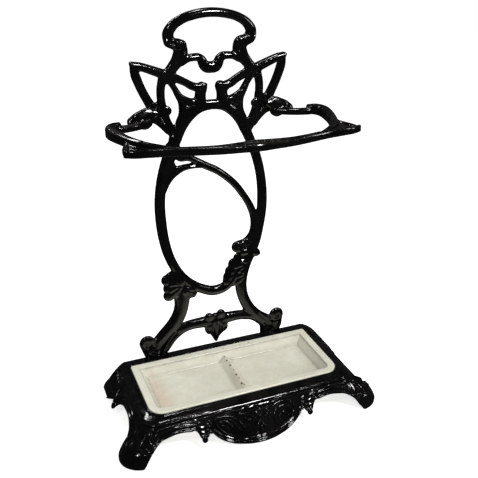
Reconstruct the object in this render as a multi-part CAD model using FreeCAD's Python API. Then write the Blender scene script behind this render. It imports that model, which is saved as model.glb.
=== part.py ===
"""Cast-iron umbrella stand: a footed base casting, an openwork back casting, a bow-shaped rail
that holds the umbrellas, a lift-out enamelled drip tray, and the screws that hold them together.

Frame: X runs across the stand, Y runs from the front to the back, Z is up. The origin is on the
floor, in the middle of the whole stand's box. "Forward" distances are measured from the plane
where the back casting laps against the base, towards the front.
"""

import FreeCAD, Part
import math
import os

V = FreeCAD.Vector

# ---------------------------------------------------------------- driving dimensions, in mm
STAND_HEIGHT = 702.0        # floor to the top of the handle
BASE_LENGTH = 396.0         # across the top of the base
BASE_HEIGHT = 62.0          # floor to the top face of the base
BASE_TOP_DEPTH = 197.0      # lap plane to the front edge of the top face
BASE_DEPTH = 240.0          # lap plane to the front of the apron's middle lobe
SIDE_FLARE = 42.0           # how far the aprons spread past the top edge at the floor, sideways
FRONT_FLARE = 27.0          # the same, forwards, at the front corners
FRONT_BOW = 1.0             # how far the middle of the top's front edge bows forwards
BASE_WALL = 5.0             # thickness of the aprons and of the top plate
FRONT_CORNER_R = 24.0       # plan radius of the top's corners
REAR_CORNER_R = 8.0
CORNER_SPREAD = 10.0        # how much larger that radius is at the floor
LOBE_CLEARANCE = 2.0        # gap between the apron's middle lobe and the floor

TRAY_SIDE_MARGIN = 16.0     # from the tray's rim to the edge of the base's top
TRAY_FRONT_MARGIN = 17.0
TRAY_REAR_MARGIN = 24.4
TRAY_FLANGE = 14.0          # width of the tray's flat rim
TRAY_FLANGE_THICKNESS = 6.0
TRAY_WALL = 4.0
TRAY_WELL = 18.0            # depth of the wells below the rim
TRAY_DRAFT = 11.0           # how far a well's wall leans in from rim to floor
TRAY_FRONT_R = 26.0         # plan radius of the rim's front corners
TRAY_REAR_R = 3.0
DIVIDER_HEIGHT = 9.0
DIVIDER_BASE = 22.0
DIVIDER_CREST = 6.0
RECESS = 2.0                # how deep the tray's rim sits into the base's top face
TRAY_GAP = 1.0              # clearance round the rim, in the recess
WELL_GAP = 2.0              # clearance round the tray's body, in the base's opening

PANEL_WIDTH = 272.0         # wing tip to wing tip
PANEL_THICKNESS = 10.0
TAB_CENTRE = 122.0          # sideways place of a foot tab
TAB_HALF = 18.0             # half the width of a foot tab
TAB_REACH = 40.0            # how far a tab reaches below the base's top
EAR_CENTRE = 108.0          # sideways place of the ears that carry the rail

RAIL_BOTTOM = 519.0         # height of the rail's underside
RAIL_THICKNESS = 11.5
RAIL_LENGTH = 392.0         # tip to tip
RAIL_REACH = 208.0          # lap plane to the front of the rail
SHOULDER_RISE = 8.0         # how far the side loops stand above the rail
PAD_THICKNESS = 10.0

SCREW_R = 3.0
SCREW_HOLE_R = 3.3
SCREW_GAP = 0.05            # radial gap between a screw and the thread it turns in
HEAD_R = 5.5
HEAD_HEIGHT = 4.0
SLOT_WIDTH = 1.4
SLOT_DEPTH = 1.8
WASHER_R = 6.0
WASHER_THICKNESS = 1.6
NUT_SIDE = 10.0
NUT_THICKNESS = 5.0
THREAD_PAST_NUT = 2.0
BASE_SCREW_DROPS = {"lower": 31.0, "upper": 12.0}  # how far below the base's top they sit
RAIL_SCREW_RISE = 14.0      # how far above the rail's underside the rail screws sit
RAIL_SCREW_DEPTH = 7.0      # how far a rail screw reaches into the rail's pad

FOOT_R = 22.0
FOOT_SET_IN = 19.0          # from the aprons' reach at the floor to the middle of a foot
REAR_FOOT_FORWARD = 22.0

# ---------------------------------------------------------------- places worked out from them
# The back was drawn 272 wide and 702 high, the rail 392 by 208 and the base 396 by 62, in mm.
ART_WIDTH = 272.0
ART_HEIGHT = 702.0
RAIL_ART_LENGTH = 392.0
RAIL_ART_REACH = 208.0
BASE_ART_LENGTH = 396.0
BASE_ART_HEIGHT = 62.0
BASE_ART_DEPTH = 197.0

BEHIND_LAP = PANEL_THICKNESS + WASHER_THICKNESS + HEAD_HEIGHT


def spread_at(z):
    """How far an apron has swept out at height z: 0 at the top edge, 1 at the floor."""
    return 1 - (z / BASE_HEIGHT) ** 1.5


def lobe_reach(spread):
    """How far forward the middle of the front apron stands."""
    top = BASE_TOP_DEPTH + FRONT_BOW
    return top + (BASE_DEPTH - top) * spread


LOBE_FRONT = lobe_reach(spread_at(LOBE_CLEARANCE * BASE_HEIGHT / BASE_ART_HEIGHT))
LAP_Y = (LOBE_FRONT - BEHIND_LAP) / 2
PANEL_BACK_Y = LAP_Y + PANEL_THICKNESS

TRAY_LENGTH = BASE_LENGTH - 2 * TRAY_SIDE_MARGIN
TRAY_REAR = TRAY_REAR_MARGIN
TRAY_DEPTH = BASE_TOP_DEPTH - TRAY_REAR_MARGIN - TRAY_FRONT_MARGIN
LEDGE_Z = BASE_HEIGHT - RECESS
TRAY_TOP_Z = LEDGE_Z + TRAY_FLANGE_THICKNESS
TRAY_FLOOR_Z = TRAY_TOP_Z - TRAY_WELL

TAB_BOTTOM = BASE_HEIGHT - TAB_REACH
RAIL_SCREW_Z = RAIL_BOTTOM + RAIL_SCREW_RISE
FOOT_OUT = BASE_LENGTH / 2 + SIDE_FLARE - FOOT_SET_IN
FRONT_FOOT = (FOOT_OUT, BASE_TOP_DEPTH + FRONT_FLARE - FOOT_SET_IN)
REAR_FOOT = (FOOT_OUT, REAR_FOOT_FORWARD)

FORWARD = V(0, -1, 0)
BACKWARD = V(0, 1, 0)
UP = V(0, 0, 1)
SIDES = {"left": -1, "right": 1}


def y_at(forward):
    """Y of a point that lies this far forward of the lap plane."""
    return LAP_Y - forward


# ---------------------------------------------------------------- outlines and bars
def spline(points):
    """A smooth edge through the points, or a straight one through two."""
    if len(points) == 2:
        return Part.makeLine(points[0], points[1])
    curve = Part.BSplineCurve()
    curve.interpolate(points)
    return curve.toShape()


def bar_face(path, to_space):
    """A flat bar: path holds (u, v, width) along its middle, and to_space puts (u, v) in space.
    Its ends are round."""
    middle = Part.BSplineCurve()
    middle.interpolate([V(u, v, 0) for u, v, _ in path])
    left, right = [], []
    for u, v, width in path:
        here = V(u, v, 0)
        along = middle.tangent(middle.parameter(here))[0]
        across = V(-along.y, along.x, 0) * (width / 2)
        left.append(here + across)
        right.append(here - across)
    start = V(*path[0][:2], 0) - middle.tangent(middle.FirstParameter)[0] * (path[0][2] / 2)
    end = V(*path[-1][:2], 0) + middle.tangent(middle.LastParameter)[0] * (path[-1][2] / 2)

    def place(p):
        return to_space(p.x, p.y)

    edges = [
        spline([place(p) for p in left]),
        Part.Arc(place(left[-1]), place(end), place(right[-1])).toShape(),
        spline([place(p) for p in reversed(right)]),
        Part.Arc(place(right[0]), place(start), place(left[0])).toShape(),
    ]
    return Part.Face(Part.Wire(edges))


def closed_face(runs, to_space):
    """A face whose outline is several smooth runs of (u, v) points, end to end."""
    edges = [spline([to_space(u, v) for u, v in run]) for run in runs]
    return Part.Face(Part.Wire(edges))


def mirrored(path):
    return [(-p[0],) + tuple(p[1:]) for p in path]


def both(path):
    return [path, mirrored(path)]


def across(half):
    """A path that starts on the middle line, completed by its mirror image."""
    return mirrored(half[:0:-1]) + half


def joined(solids):
    return solids[0].multiFuse(solids[1:]).removeSplitter()


def cylinder(radius, length, base, axis):
    return Part.makeCylinder(radius, length, base, axis)


# ---------------------------------------------------------------- fasteners
def screw(length, tip_y, x, z):
    """A slotted round-head screw that points forwards. Its shank ends at tip_y."""
    under_head = tip_y + length
    shank = cylinder(SCREW_R, length + HEAD_HEIGHT / 2, V(x, tip_y, z), BACKWARD)
    crown_r = (HEAD_R ** 2 + HEAD_HEIGHT ** 2) / (2 * HEAD_HEIGHT)
    crown = Part.makeSphere(crown_r, V(x, under_head + HEAD_HEIGHT - crown_r, z))
    head = cylinder(HEAD_R, HEAD_HEIGHT, V(x, under_head, z), BACKWARD).common(crown)
    slot = Part.makeBox(
        2 * HEAD_R, SLOT_DEPTH, SLOT_WIDTH,
        V(x - HEAD_R, under_head + HEAD_HEIGHT - SLOT_DEPTH, z - SLOT_WIDTH / 2),
    )
    return shank.fuse(head).cut(slot).removeSplitter()


def washer(x, z):
    ring = cylinder(WASHER_R, WASHER_THICKNESS, V(x, PANEL_BACK_Y, z), BACKWARD)
    return ring.cut(cylinder(SCREW_HOLE_R, WASHER_THICKNESS, V(x, PANEL_BACK_Y, z), BACKWARD))


def nut(x, z):
    """A square nut against the inside of the base's rear apron."""
    y = y_at(BASE_WALL + NUT_THICKNESS)
    half = NUT_SIDE / 2
    block = Part.makeBox(NUT_SIDE, NUT_THICKNESS, NUT_SIDE, V(x - half, y, z - half))
    return block.cut(cylinder(SCREW_R + SCREW_GAP, NUT_THICKNESS, V(x, y, z), BACKWARD))


# ---------------------------------------------------------------- base casting
def ring_section(z, spread, inset=0.0):
    """Outline of the base at height z. spread runs from 0 at the top edge to 1 at the floor."""
    half = BASE_LENGTH / 2 + SIDE_FLARE * spread - inset
    front = BASE_TOP_DEPTH + FRONT_FLARE * spread - inset
    middle = lobe_reach(spread) - inset
    rear = inset
    fr = FRONT_CORNER_R + CORNER_SPREAD * spread
    rr = REAR_CORNER_R + CORNER_SPREAD * spread
    diagonal = 1 - math.sqrt(0.5)

    def p(x, forward):
        return V(x, y_at(forward), z)

    def corner(side, r, forward, towards):
        """Start, middle and end of a corner arc."""
        return (
            p(side * half, forward + towards * r),
            p(side * (half - r * diagonal), forward + towards * r * diagonal),
            p(side * (half - r), forward),
        )

    fr_right, fr_left = corner(1, fr, front, -1), corner(-1, fr, front, -1)
    re_right, re_left = corner(1, rr, rear, 1), corner(-1, rr, rear, 1)
    return Part.Wire([
        Part.makeLine(re_left[2], re_right[2]),
        Part.Arc(re_right[2], re_right[1], re_right[0]).toShape(),
        Part.makeLine(re_right[0], fr_right[0]),
        Part.Arc(*fr_right).toShape(),
        Part.Arc(fr_right[2], p(0, middle), fr_left[2]).toShape(),
        Part.Arc(*reversed(fr_left)).toShape(),
        Part.makeLine(fr_left[0], re_left[0]),
        Part.Arc(*re_left).toShape(),
    ])


def base_shell():
    heights = [0.0, 0.25, 0.5, 0.75, 1.0]
    outer = Part.makeLoft(
        [ring_section(h * BASE_HEIGHT, spread_at(h * BASE_HEIGHT)) for h in heights], True
    )
    ceiling = BASE_HEIGHT - BASE_WALL
    inner = Part.makeLoft(
        [ring_section(h * ceiling, spread_at(h * ceiling), BASE_WALL) for h in heights], True
    )
    return outer.cut(inner)


def foot(side, place, radius):
    """A club foot that leans in towards the corner of the top plate."""
    x, forward = place
    lean_x = (BASE_LENGTH / 2 - x) * side
    corner_forward = BASE_TOP_DEPTH - FRONT_CORNER_R if forward > BASE_TOP_DEPTH / 2 else forward
    lean_y = forward - corner_forward
    steps = [(0.0, 0.78, 0.0), (0.06, 0.9, 0.0), (0.3, 1.0, 0.0), (0.6, 0.82, 0.3), (0.86, 0.45, 0.8)]
    rings = [
        Part.Wire(Part.makeCircle(
            radius * size,
            V(side * x + lean_x * lean, y_at(forward) + lean_y * lean, h * BASE_HEIGHT),
        ))
        for h, size, lean in steps
    ]
    return Part.makeLoft(rings, True)


def front_cutter():
    """What is open under the front apron: two arches, and the gap under the lobe. The curls and
    the lobe between the arches stay."""
    h = BASE_HEIGHT / BASE_ART_HEIGHT
    w = BASE_LENGTH / BASE_ART_LENGTH
    below = -2.0
    low = LOBE_CLEARANCE

    def place(u, v):
        return V(u * w, y_at(BASE_DEPTH + 20), v * h)

    runs = [
        [(206, below), (206, 0)],
        [(206, 0), (202, 14), (192, 28), (172, 37), (146, 40), (124, 37), (109, 29), (104, 20)],
        [(104, 20), (101, 16), (96, 18)],
        [(96, 18), (90, 24)],
        [(90, 24), (78, 17), (58, 8), (30, low + 1), (0, low)],
        [(0, low), (-30, low + 1), (-58, 8), (-78, 17), (-90, 24)],
        [(-90, 24), (-96, 18)],
        [(-96, 18), (-101, 16), (-104, 20)],
        [(-104, 20), (-109, 29), (-124, 37), (-146, 40), (-172, 37), (-192, 28), (-202, 14), (-206, 0)],
        [(-206, 0), (-206, below)],
        [(-206, below), (206, below)],
    ]
    return closed_face(runs, place).extrude(BACKWARD * (BASE_DEPTH + 20 - BASE_TOP_DEPTH / 2))


def side_cutter(side):
    """What is open under a side apron: an arch with a spur at its rear end."""
    h = BASE_HEIGHT / BASE_ART_HEIGHT
    d = BASE_TOP_DEPTH / BASE_ART_DEPTH
    below = -2.0
    reach = BASE_LENGTH / 2 + SIDE_FLARE + 10

    def place(u, v):
        return V(side * reach, y_at(u * d), v * h)

    runs = [
        [(188, below), (188, 0)],
        [(188, 0), (184, 16), (172, 31), (150, 39), (122, 41), (96, 37), (80, 28), (74, 22)],
        [(74, 22), (71, 18), (67, 21)],
        [(67, 21), (62, 26), (54, 20), (48, 8), (46, 0)],
        [(46, 0), (46, below)],
        [(46, below), (188, below)],
    ]
    return closed_face(runs, place).extrude(V(-side * reach / 2, 0, 0))


def rear_cutter():
    """What is open under the rear apron, between the two lugs that the back is screwed to."""
    h = BASE_HEIGHT / BASE_ART_HEIGHT
    edge = 200 * BASE_LENGTH / BASE_ART_LENGTH
    below = -2.0
    lug_out = TAB_CENTRE + TAB_HALF + 6
    lug_in = TAB_CENTRE - TAB_HALF - 6
    lug_z = (TAB_BOTTOM - 2) / h
    span = edge - lug_out

    def place(u, v):
        return V(u, y_at(-5), v * h)

    outer = [(lug_out, lug_z), (lug_out + 0.12 * span, 32), (lug_out + 0.4 * span, 37),
             (lug_out + 0.78 * span, 30), (lug_out + 0.94 * span, 16), (edge, 0)]
    middle = [(lug_in, lug_z), (lug_in * 0.92, 34), (lug_in * 0.6, 42), (0, 45)]
    runs = [
        [(edge, below), (edge, 0)],
        outer[::-1],
        [(lug_out, lug_z), (lug_in, lug_z)],
        middle + mirrored(middle[-2::-1]),
        [(-lug_in, lug_z), (-lug_out, lug_z)],
        mirrored(outer),
        [(-edge, 0), (-edge, below)],
        [(-edge, below), (edge, below)],
    ]
    return closed_face(runs, place).extrude(FORWARD * (BASE_TOP_DEPTH / 3))


def tray_outline(z, grow, draft=0.0):
    """The tray's plan at height z, grown by grow or drawn in by draft on every side. Its front
    corners are round and its rear corners nearly square."""
    half = TRAY_LENGTH / 2 + grow - draft
    rear = TRAY_REAR - grow + draft
    front = TRAY_REAR + TRAY_DEPTH + grow - draft
    fr = max(TRAY_FRONT_R + (grow - draft) * 0.6, 4.0)
    rr = max(TRAY_REAR_R + grow * 0.3, 2.0)
    diagonal = 1 - math.sqrt(0.5)

    def p(x, forward):
        return V(x, y_at(forward), z)

    edges = [Part.makeLine(p(-half + rr, rear), p(half - rr, rear))]
    edges.append(Part.Arc(
        p(half - rr, rear), p(half - rr * diagonal, rear + rr * diagonal), p(half, rear + rr)
    ).toShape())
    edges.append(Part.makeLine(p(half, rear + rr), p(half, front - fr)))
    edges.append(Part.Arc(
        p(half, front - fr), p(half - fr * diagonal, front - fr * diagonal), p(half - fr, front)
    ).toShape())
    edges.append(Part.makeLine(p(half - fr, front), p(-half + fr, front)))
    edges.append(Part.Arc(
        p(-half + fr, front), p(-half + fr * diagonal, front - fr * diagonal), p(-half, front - fr)
    ).toShape())
    edges.append(Part.makeLine(p(-half, front - fr), p(-half, rear + rr)))
    edges.append(Part.Arc(
        p(-half, rear + rr), p(-half + rr * diagonal, rear + rr * diagonal), p(-half + rr, rear)
    ).toShape())
    return Part.Wire(edges)


def base_casting():
    body = base_shell()
    body = body.cut([front_cutter(), side_cutter(1), side_cutter(-1), rear_cutter()])
    for side in SIDES.values():
        body = body.fuse(foot(side, FRONT_FOOT, FOOT_R))
        body = body.fuse(foot(side, REAR_FOOT, FOOT_R * 0.95))
    recess = Part.Face(tray_outline(LEDGE_Z, TRAY_GAP)).extrude(UP * (RECESS + 1))
    opening = Part.Face(
        tray_outline(BASE_HEIGHT - 2 * BASE_WALL, -TRAY_FLANGE + TRAY_WALL + WELL_GAP)
    ).extrude(UP * (2 * BASE_WALL + 1))
    body = body.cut([recess, opening])
    holes = [
        cylinder(SCREW_HOLE_R, BASE_WALL + 2, V(x, y_at(BASE_WALL + 1), z), BACKWARD)
        for x, z in base_screw_places()
    ]
    return body.cut(holes)


# ---------------------------------------------------------------- drip tray
def drip_tray():
    """A flanged dish with two wells and a low ridge between them."""
    flange = Part.Face(tray_outline(LEDGE_Z, 0.0)).extrude(UP * TRAY_FLANGE_THICKNESS)
    lip = TRAY_FLANGE
    bottom_z = TRAY_FLOOR_Z - TRAY_WALL
    outer = Part.makeLoft([
        tray_outline(bottom_z, TRAY_WALL - lip, TRAY_DRAFT),
        tray_outline(TRAY_TOP_Z, TRAY_WALL - lip),
    ], True, True)
    hollow = Part.makeLoft([
        tray_outline(TRAY_FLOOR_Z, -lip, TRAY_DRAFT),
        tray_outline(TRAY_TOP_Z, -lip),
    ], True, True)
    above = Part.Face(tray_outline(TRAY_TOP_Z, -lip)).extrude(UP * 1.0)
    body = flange.fuse(outer).cut([hollow, above])
    rear = TRAY_REAR + lip
    front = TRAY_REAR + TRAY_DEPTH - lip
    crest_z = TRAY_FLOOR_Z + DIVIDER_HEIGHT
    sink = TRAY_FLOOR_Z - TRAY_WALL / 2
    profile = Part.makePolygon([
        V(-DIVIDER_BASE / 2, y_at(rear), sink),
        V(-DIVIDER_BASE / 2, y_at(rear), TRAY_FLOOR_Z),
        V(-DIVIDER_CREST / 2, y_at(rear), crest_z),
        V(DIVIDER_CREST / 2, y_at(rear), crest_z),
        V(DIVIDER_BASE / 2, y_at(rear), TRAY_FLOOR_Z),
        V(DIVIDER_BASE / 2, y_at(rear), sink),
        V(-DIVIDER_BASE / 2, y_at(rear), sink),
    ])
    ridge = Part.Face(profile).extrude(FORWARD * (front - rear)).common(
        Part.makeLoft([
            tray_outline(sink, TRAY_WALL / 2 - lip, TRAY_DRAFT),
            tray_outline(TRAY_TOP_Z, TRAY_WALL / 2 - lip),
        ], True, True)
    )
    return body.fuse(ridge).removeSplitter()


# ---------------------------------------------------------------- back casting
def art(u, v):
    """A point of the back's drawing, on the lap plane."""
    return V(u * PANEL_WIDTH / ART_WIDTH, LAP_Y, v * STAND_HEIGHT / ART_HEIGHT)


HANDLE = across([(0, 695.5, 13), (26, 693, 13), (50, 685, 14), (68, 673, 15), (75, 660, 17), (69, 648, 19), (54, 642, 22)])
NECK = [(54, 645, 22), (55, 632, 22), (62, 617, 19), (72, 603, 15)]
ARCH = across([(0, 607, 17), (14, 611, 18), (24, 621, 14), (38, 622, 12), (54, 614, 11)])
WHIP = [(133, 618, 6), (118, 612, 13), (98, 605, 14), (80, 598, 15), (62, 590, 13), (45, 581, 12), (28, 573, 15), (16, 573, 14)]
WING = [(134, 618, 6), (130, 603, 13), (125, 586, 13), (117, 569, 13), (108, 552, 14), (104, 542, 16)]
LEAF = [(88, 598, 9), (91, 583, 11), (91, 566, 11), (88, 550, 13), (82, 536, 13), (76, 520, 12), (71, 505, 14)]
INNER_LEAF = [(76, 592, 9), (66, 574, 9), (56, 557, 12), (52, 541, 14), (53, 524, 16)]
KNOB_STEM = [(18, 574, 11), (20, 562, 13), (22, 549, 14)]
SPANDREL = [(66, 512, 14), (56, 532, 16), (42, 547, 14), (24, 551, 12)]
OVAL_TOP = across([(0, 543, 16), (22, 539, 16), (39, 528, 16), (53, 511, 16), (64, 491, 18)])
OVAL_RIGHT = [(64, 491, 18), (76, 466, 17), (87, 434, 17), (94, 400, 17), (97, 364, 17), (96, 330, 17), (92, 300, 17), (86, 272, 18), (78, 252, 20)]
OVAL_LEFT = [(-64, 491, 20), (-77, 468, 20), (-89, 438, 18), (-97, 405, 17), (-101, 370, 17), (-101, 335, 17), (-97, 300, 17), (-89, 268, 17), (-78, 242, 18), (-63, 219, 18), (-45, 201, 18), (-25, 188, 18), (-4, 181, 18), (16, 182, 18), (32, 192, 18), (42, 206, 20)]
INNER_WHIP = [(-68, 486, 20), (-60, 466, 16), (-46, 453, 10), (-24, 440, 11), (0, 427.5, 12), (22, 412, 12), (42, 392, 12), (59, 369, 11), (73, 345, 12), (81, 320, 13), (82, 298, 14), (76, 281, 13), (62, 268, 13), (48, 266, 16)]
LOWER_WHIP = [(-91, 392, 8), (-84, 410, 9), (-72, 424, 9), (-56, 433, 8), (-38, 437, 8), (-20, 436, 9)]
LEG_RIGHT = [(70, 248, 26), (60, 226, 26), (55, 200, 23), (56, 172, 20), (61, 149, 20), (71, 129, 22), (87, 110, 25), (106, 94, 27), (119, 77, 33)]
LEG_LEFT = [(-76, 226, 26), (-70, 204, 30), (-67, 178, 26), (-69, 154, 23), (-75, 135, 23), (-86, 118, 24), (-101, 103, 26), (-115, 88, 30)]
CROSSBAR = across([(0, 110, 26), (18, 110, 22), (36, 111, 19), (54, 110, 18), (74, 106, 18)])
PENDANT = [(0, 120, 26), (0, 106, 34), (0, 91, 28), (0, 76, 16), (0, 66, 7)]
COLLAR = [(62, 252, 14), (76, 249, 17), (87, 246, 12)]

# Round bosses of the leaf clusters: middle and radius.
BOSSES = [
    (47, 266, 11), (40, 231, 13), (27, 208, 10), (-95, 218, 12), (-93, 190, 11), (-50, 184, 10),
    (-141, 92, 14.5), (136, 97, 14), (-14, 122, 8), (12, 124, 9), (-72, 205, 24), (48, 220, 16),
    (-124, 80, 20), (126, 82, 19), (66, 252, 12),
]


def ear():
    """The web that carries the rail, from its screw in to the oval."""
    u = EAR_CENTRE * ART_WIDTH / PANEL_WIDTH
    v = RAIL_SCREW_Z * ART_HEIGHT / STAND_HEIGHT
    return [(u, v, 22), (u - 12, v - 7, 19), (u - 24, v - 19, 18), (u - 35, v - 33, 17)]


def back_casting():
    ankle = (TAB_CENTRE * ART_WIDTH / PANEL_WIDTH, 58, 36)
    paths = [HANDLE, ARCH, OVAL_TOP, OVAL_RIGHT, OVAL_LEFT, INNER_WHIP, LOWER_WHIP,
             CROSSBAR, PENDANT, COLLAR, LEG_RIGHT + [ankle], LEG_LEFT + mirrored([ankle])]
    for path in (NECK, WHIP, WING, LEAF, INNER_LEAF, KNOB_STEM, SPANDREL, ear()):
        paths += both(path)
    thick = BACKWARD * PANEL_THICKNESS
    solids = [bar_face(path, art).extrude(thick) for path in paths]
    for u, v, r in BOSSES:
        solids.append(cylinder(r, PANEL_THICKNESS, art(u, v), BACKWARD))
    for side in SIDES.values():
        solids.append(Part.makeBox(
            2 * TAB_HALF, PANEL_THICKNESS, BASE_HEIGHT - TAB_BOTTOM,
            V(side * TAB_CENTRE - TAB_HALF, LAP_Y, TAB_BOTTOM),
        ))
    body = joined(solids)
    holes = [
        cylinder(SCREW_HOLE_R, PANEL_THICKNESS + 2, V(x, LAP_Y - 1, z), BACKWARD)
        for x, z in base_screw_places() + rail_screw_places()
    ]
    return body.cut(holes)


# ---------------------------------------------------------------- rail
def rail_plan(z):
    """Puts a point of the rail's plan, sideways and forwards, at height z."""
    def place(u, v):
        return V(u * RAIL_LENGTH / RAIL_ART_LENGTH, y_at(v * RAIL_REACH / RAIL_ART_REACH), z)
    return place


FRONT_BAR = across([(0, 196, 24), (30, 195, 22), (60, 191, 17), (95, 185, 12), (130, 179, 12), (165, 174, 12), (190, 170, 10)])
LOOP = [(112, 182, 10), (140, 168, 13), (161, 142, 12), (177, 108, 12), (185, 80, 12), (188, 58, 12), (183, 40, 13), (170, 32, 13)]
# A pad: how far outside the screw and above the rail's underside, and its width there.
PAD = [(0, 14, 22), (10, 13, 30), (22, 9, 26), (34, 6, 14)]
ARM_FROM_SCREW = 14.0       # where an arm meets its pad
TIP_WEB = [(196, 168), (182, 128), (158, 152), (150, 174)]


def arm():
    """The bar from a side loop's rear end in to its pad, however long the rail is."""
    start = 172.0
    end = (EAR_CENTRE + ARM_FROM_SCREW) * RAIL_ART_LENGTH / RAIL_LENGTH
    reach = end - start
    return [(start, 33, 11), (start + 0.4 * reach, 29, 11), (start + 0.72 * reach, 21, 11), (end, 11, 11)]


def umbrella_rail():
    low = rail_plan(RAIL_BOTTOM)
    solids = [bar_face(FRONT_BAR, low).extrude(UP * RAIL_THICKNESS)]
    for path in both(LOOP):
        solids.append(bar_face(path, low).extrude(UP * (RAIL_THICKNESS + SHOULDER_RISE / 2)))
    for path in both(arm()):
        solids.append(bar_face(path, low).extrude(UP * RAIL_THICKNESS))
    for side in SIDES.values():
        corners = [low(side * u, v) for u, v in TIP_WEB]
        web = Part.Face(Part.makePolygon(corners + corners[:1]))
        solids.append(web.extrude(UP * (RAIL_THICKNESS - 3.0)))
    for side in SIDES.values():
        solids.append(bar_face(PAD, pad_plane(side)).extrude(FORWARD * PAD_THICKNESS))
    body = joined(solids)
    holes = [
        cylinder(SCREW_R + SCREW_GAP, RAIL_SCREW_DEPTH + 1.5, V(x, LAP_Y, z), FORWARD)
        for x, z in rail_screw_places()
    ]
    return body.cut(holes)


def pad_plane(side):
    """Puts a point of a pad's outline on the lap plane, beside its screw."""
    def place(u, v):
        return V(side * (EAR_CENTRE + u), LAP_Y, RAIL_BOTTOM + v)
    return place


def rail_screw_places():
    return [(side * EAR_CENTRE, RAIL_SCREW_Z) for side in SIDES.values()]


def base_screw_list():
    """Side, level, X and Z of each screw that holds the back to the base."""
    return [
        (side_name, level, side * TAB_CENTRE, BASE_HEIGHT - drop)
        for side_name, side in SIDES.items()
        for level, drop in BASE_SCREW_DROPS.items()
    ]


def base_screw_places():
    return [(x, z) for _, _, x, z in base_screw_list()]


# ---------------------------------------------------------------- all the pieces
def build():
    nodes = {
        "base_casting": base_casting(),
        "back_casting": back_casting(),
        "umbrella_rail": umbrella_rail(),
        "drip_tray": drip_tray(),
    }
    grip = WASHER_THICKNESS + PANEL_THICKNESS + BASE_WALL + NUT_THICKNESS + THREAD_PAST_NUT
    rail_grip = WASHER_THICKNESS + PANEL_THICKNESS + RAIL_SCREW_DEPTH
    under_head = PANEL_BACK_Y + WASHER_THICKNESS
    for side_name, level, x, z in base_screw_list():
        nodes[f"base_screw_{side_name}_{level}"] = screw(grip, under_head - grip, x, z)
        nodes[f"base_washer_{side_name}_{level}"] = washer(x, z)
        nodes[f"base_nut_{side_name}_{level}"] = nut(x, z)
    for side_name, (x, z) in zip(SIDES, rail_screw_places()):
        nodes[f"rail_screw_{side_name}"] = screw(rail_grip, under_head - rail_grip, x, z)
        nodes[f"rail_washer_{side_name}"] = washer(x, z)
    return nodes


os.makedirs("parts", exist_ok=True)
for name, shape in build().items():
    solids = shape.Solids
    print(name, "solids", len(solids), "valid", shape.isValid(), "cm3", round(shape.Volume / 1000, 2))
    body = solids[0] if len(solids) == 1 else Part.makeCompound(solids)
    body.exportStep(f"parts/{name}.step")
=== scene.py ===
# %% [markdown]
# # A cast-iron umbrella stand
#
# The stand is four castings held together by screws: a footed base, an openwork back, a bowed
# rail and a loose enamelled tray. This lesson builds each casting as a surface worked out with
# numpy, around a fixed engineering model that gives the true sizes and the moving parts.
# Everything is in metres; small lengths are written in millimetres and multiplied by MM.

# %% Load the frame
import math

import bmesh
import bpy
import numpy as np
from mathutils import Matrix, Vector


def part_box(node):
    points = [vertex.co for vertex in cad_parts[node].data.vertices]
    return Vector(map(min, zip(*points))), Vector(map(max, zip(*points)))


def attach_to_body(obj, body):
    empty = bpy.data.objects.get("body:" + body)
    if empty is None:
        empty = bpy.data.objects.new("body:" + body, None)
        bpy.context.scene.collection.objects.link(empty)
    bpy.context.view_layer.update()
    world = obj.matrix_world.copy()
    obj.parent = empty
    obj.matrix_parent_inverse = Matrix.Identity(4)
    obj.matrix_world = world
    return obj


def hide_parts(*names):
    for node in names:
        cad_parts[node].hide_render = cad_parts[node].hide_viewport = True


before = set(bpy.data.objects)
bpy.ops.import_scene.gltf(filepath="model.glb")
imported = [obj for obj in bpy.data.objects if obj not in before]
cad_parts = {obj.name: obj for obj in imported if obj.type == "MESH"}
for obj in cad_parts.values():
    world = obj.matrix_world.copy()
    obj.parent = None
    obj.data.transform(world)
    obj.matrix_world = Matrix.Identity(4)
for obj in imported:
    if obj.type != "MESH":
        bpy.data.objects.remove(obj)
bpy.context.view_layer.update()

MM = 0.001
LAP_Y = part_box("back_casting")[0].y          # the plane where the back laps against the base
HANDLE_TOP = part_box("back_casting")[1].z / MM
BASE_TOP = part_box("base_casting")[1].z / MM
RAIL_LEVEL = 519.0                            # height of the rail's underside
print("lap plane at y =", round(LAP_Y, 4), "m, base top at", round(BASE_TOP, 1), "mm")

# %% [markdown]
# ## Places
#
# The back was cast flat, so its pattern is drawn on an upright sheet: u is sideways, v is up and d
# stands proud towards the front. The rail lies down, so its pattern is drawn on a level sheet. A
# place function turns such (u, v, d) numbers into points in space, so that one bar function can
# serve both castings.

# %% Two sheets to draw on
def on_back(u, v, d):
    """A point of the upright sheet: sideways u, up v, proud d, in millimetres."""
    return np.stack([u * MM, LAP_Y - d * MM, v * MM], axis=-1)


def on_rail(u, v, d):
    """A point of the level sheet: sideways u, forward v, above the rail's underside d."""
    return np.stack([u * MM, LAP_Y - v * MM, (RAIL_LEVEL + d) * MM], axis=-1)


def one_side(sheet, side):
    """The sheet itself for the right, side 1, or the sheet seen in a mirror for the left, side -1."""
    def place(u, v, d):
        return sheet(side * u, v, d)
    return place


print("the top of the handle is at", on_back(np.zeros(1), np.full(1, HANDLE_TOP), np.zeros(1))[0])

# %% [markdown]
# ## A smooth line through a few points
#
# A pattern maker bends a batten through a few nails. The same thing in numbers is a cubic curve
# whose slope at each nail is the average of the two stretches that meet there. It needs only the
# nails, and width or height can ride along as extra columns.

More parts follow.
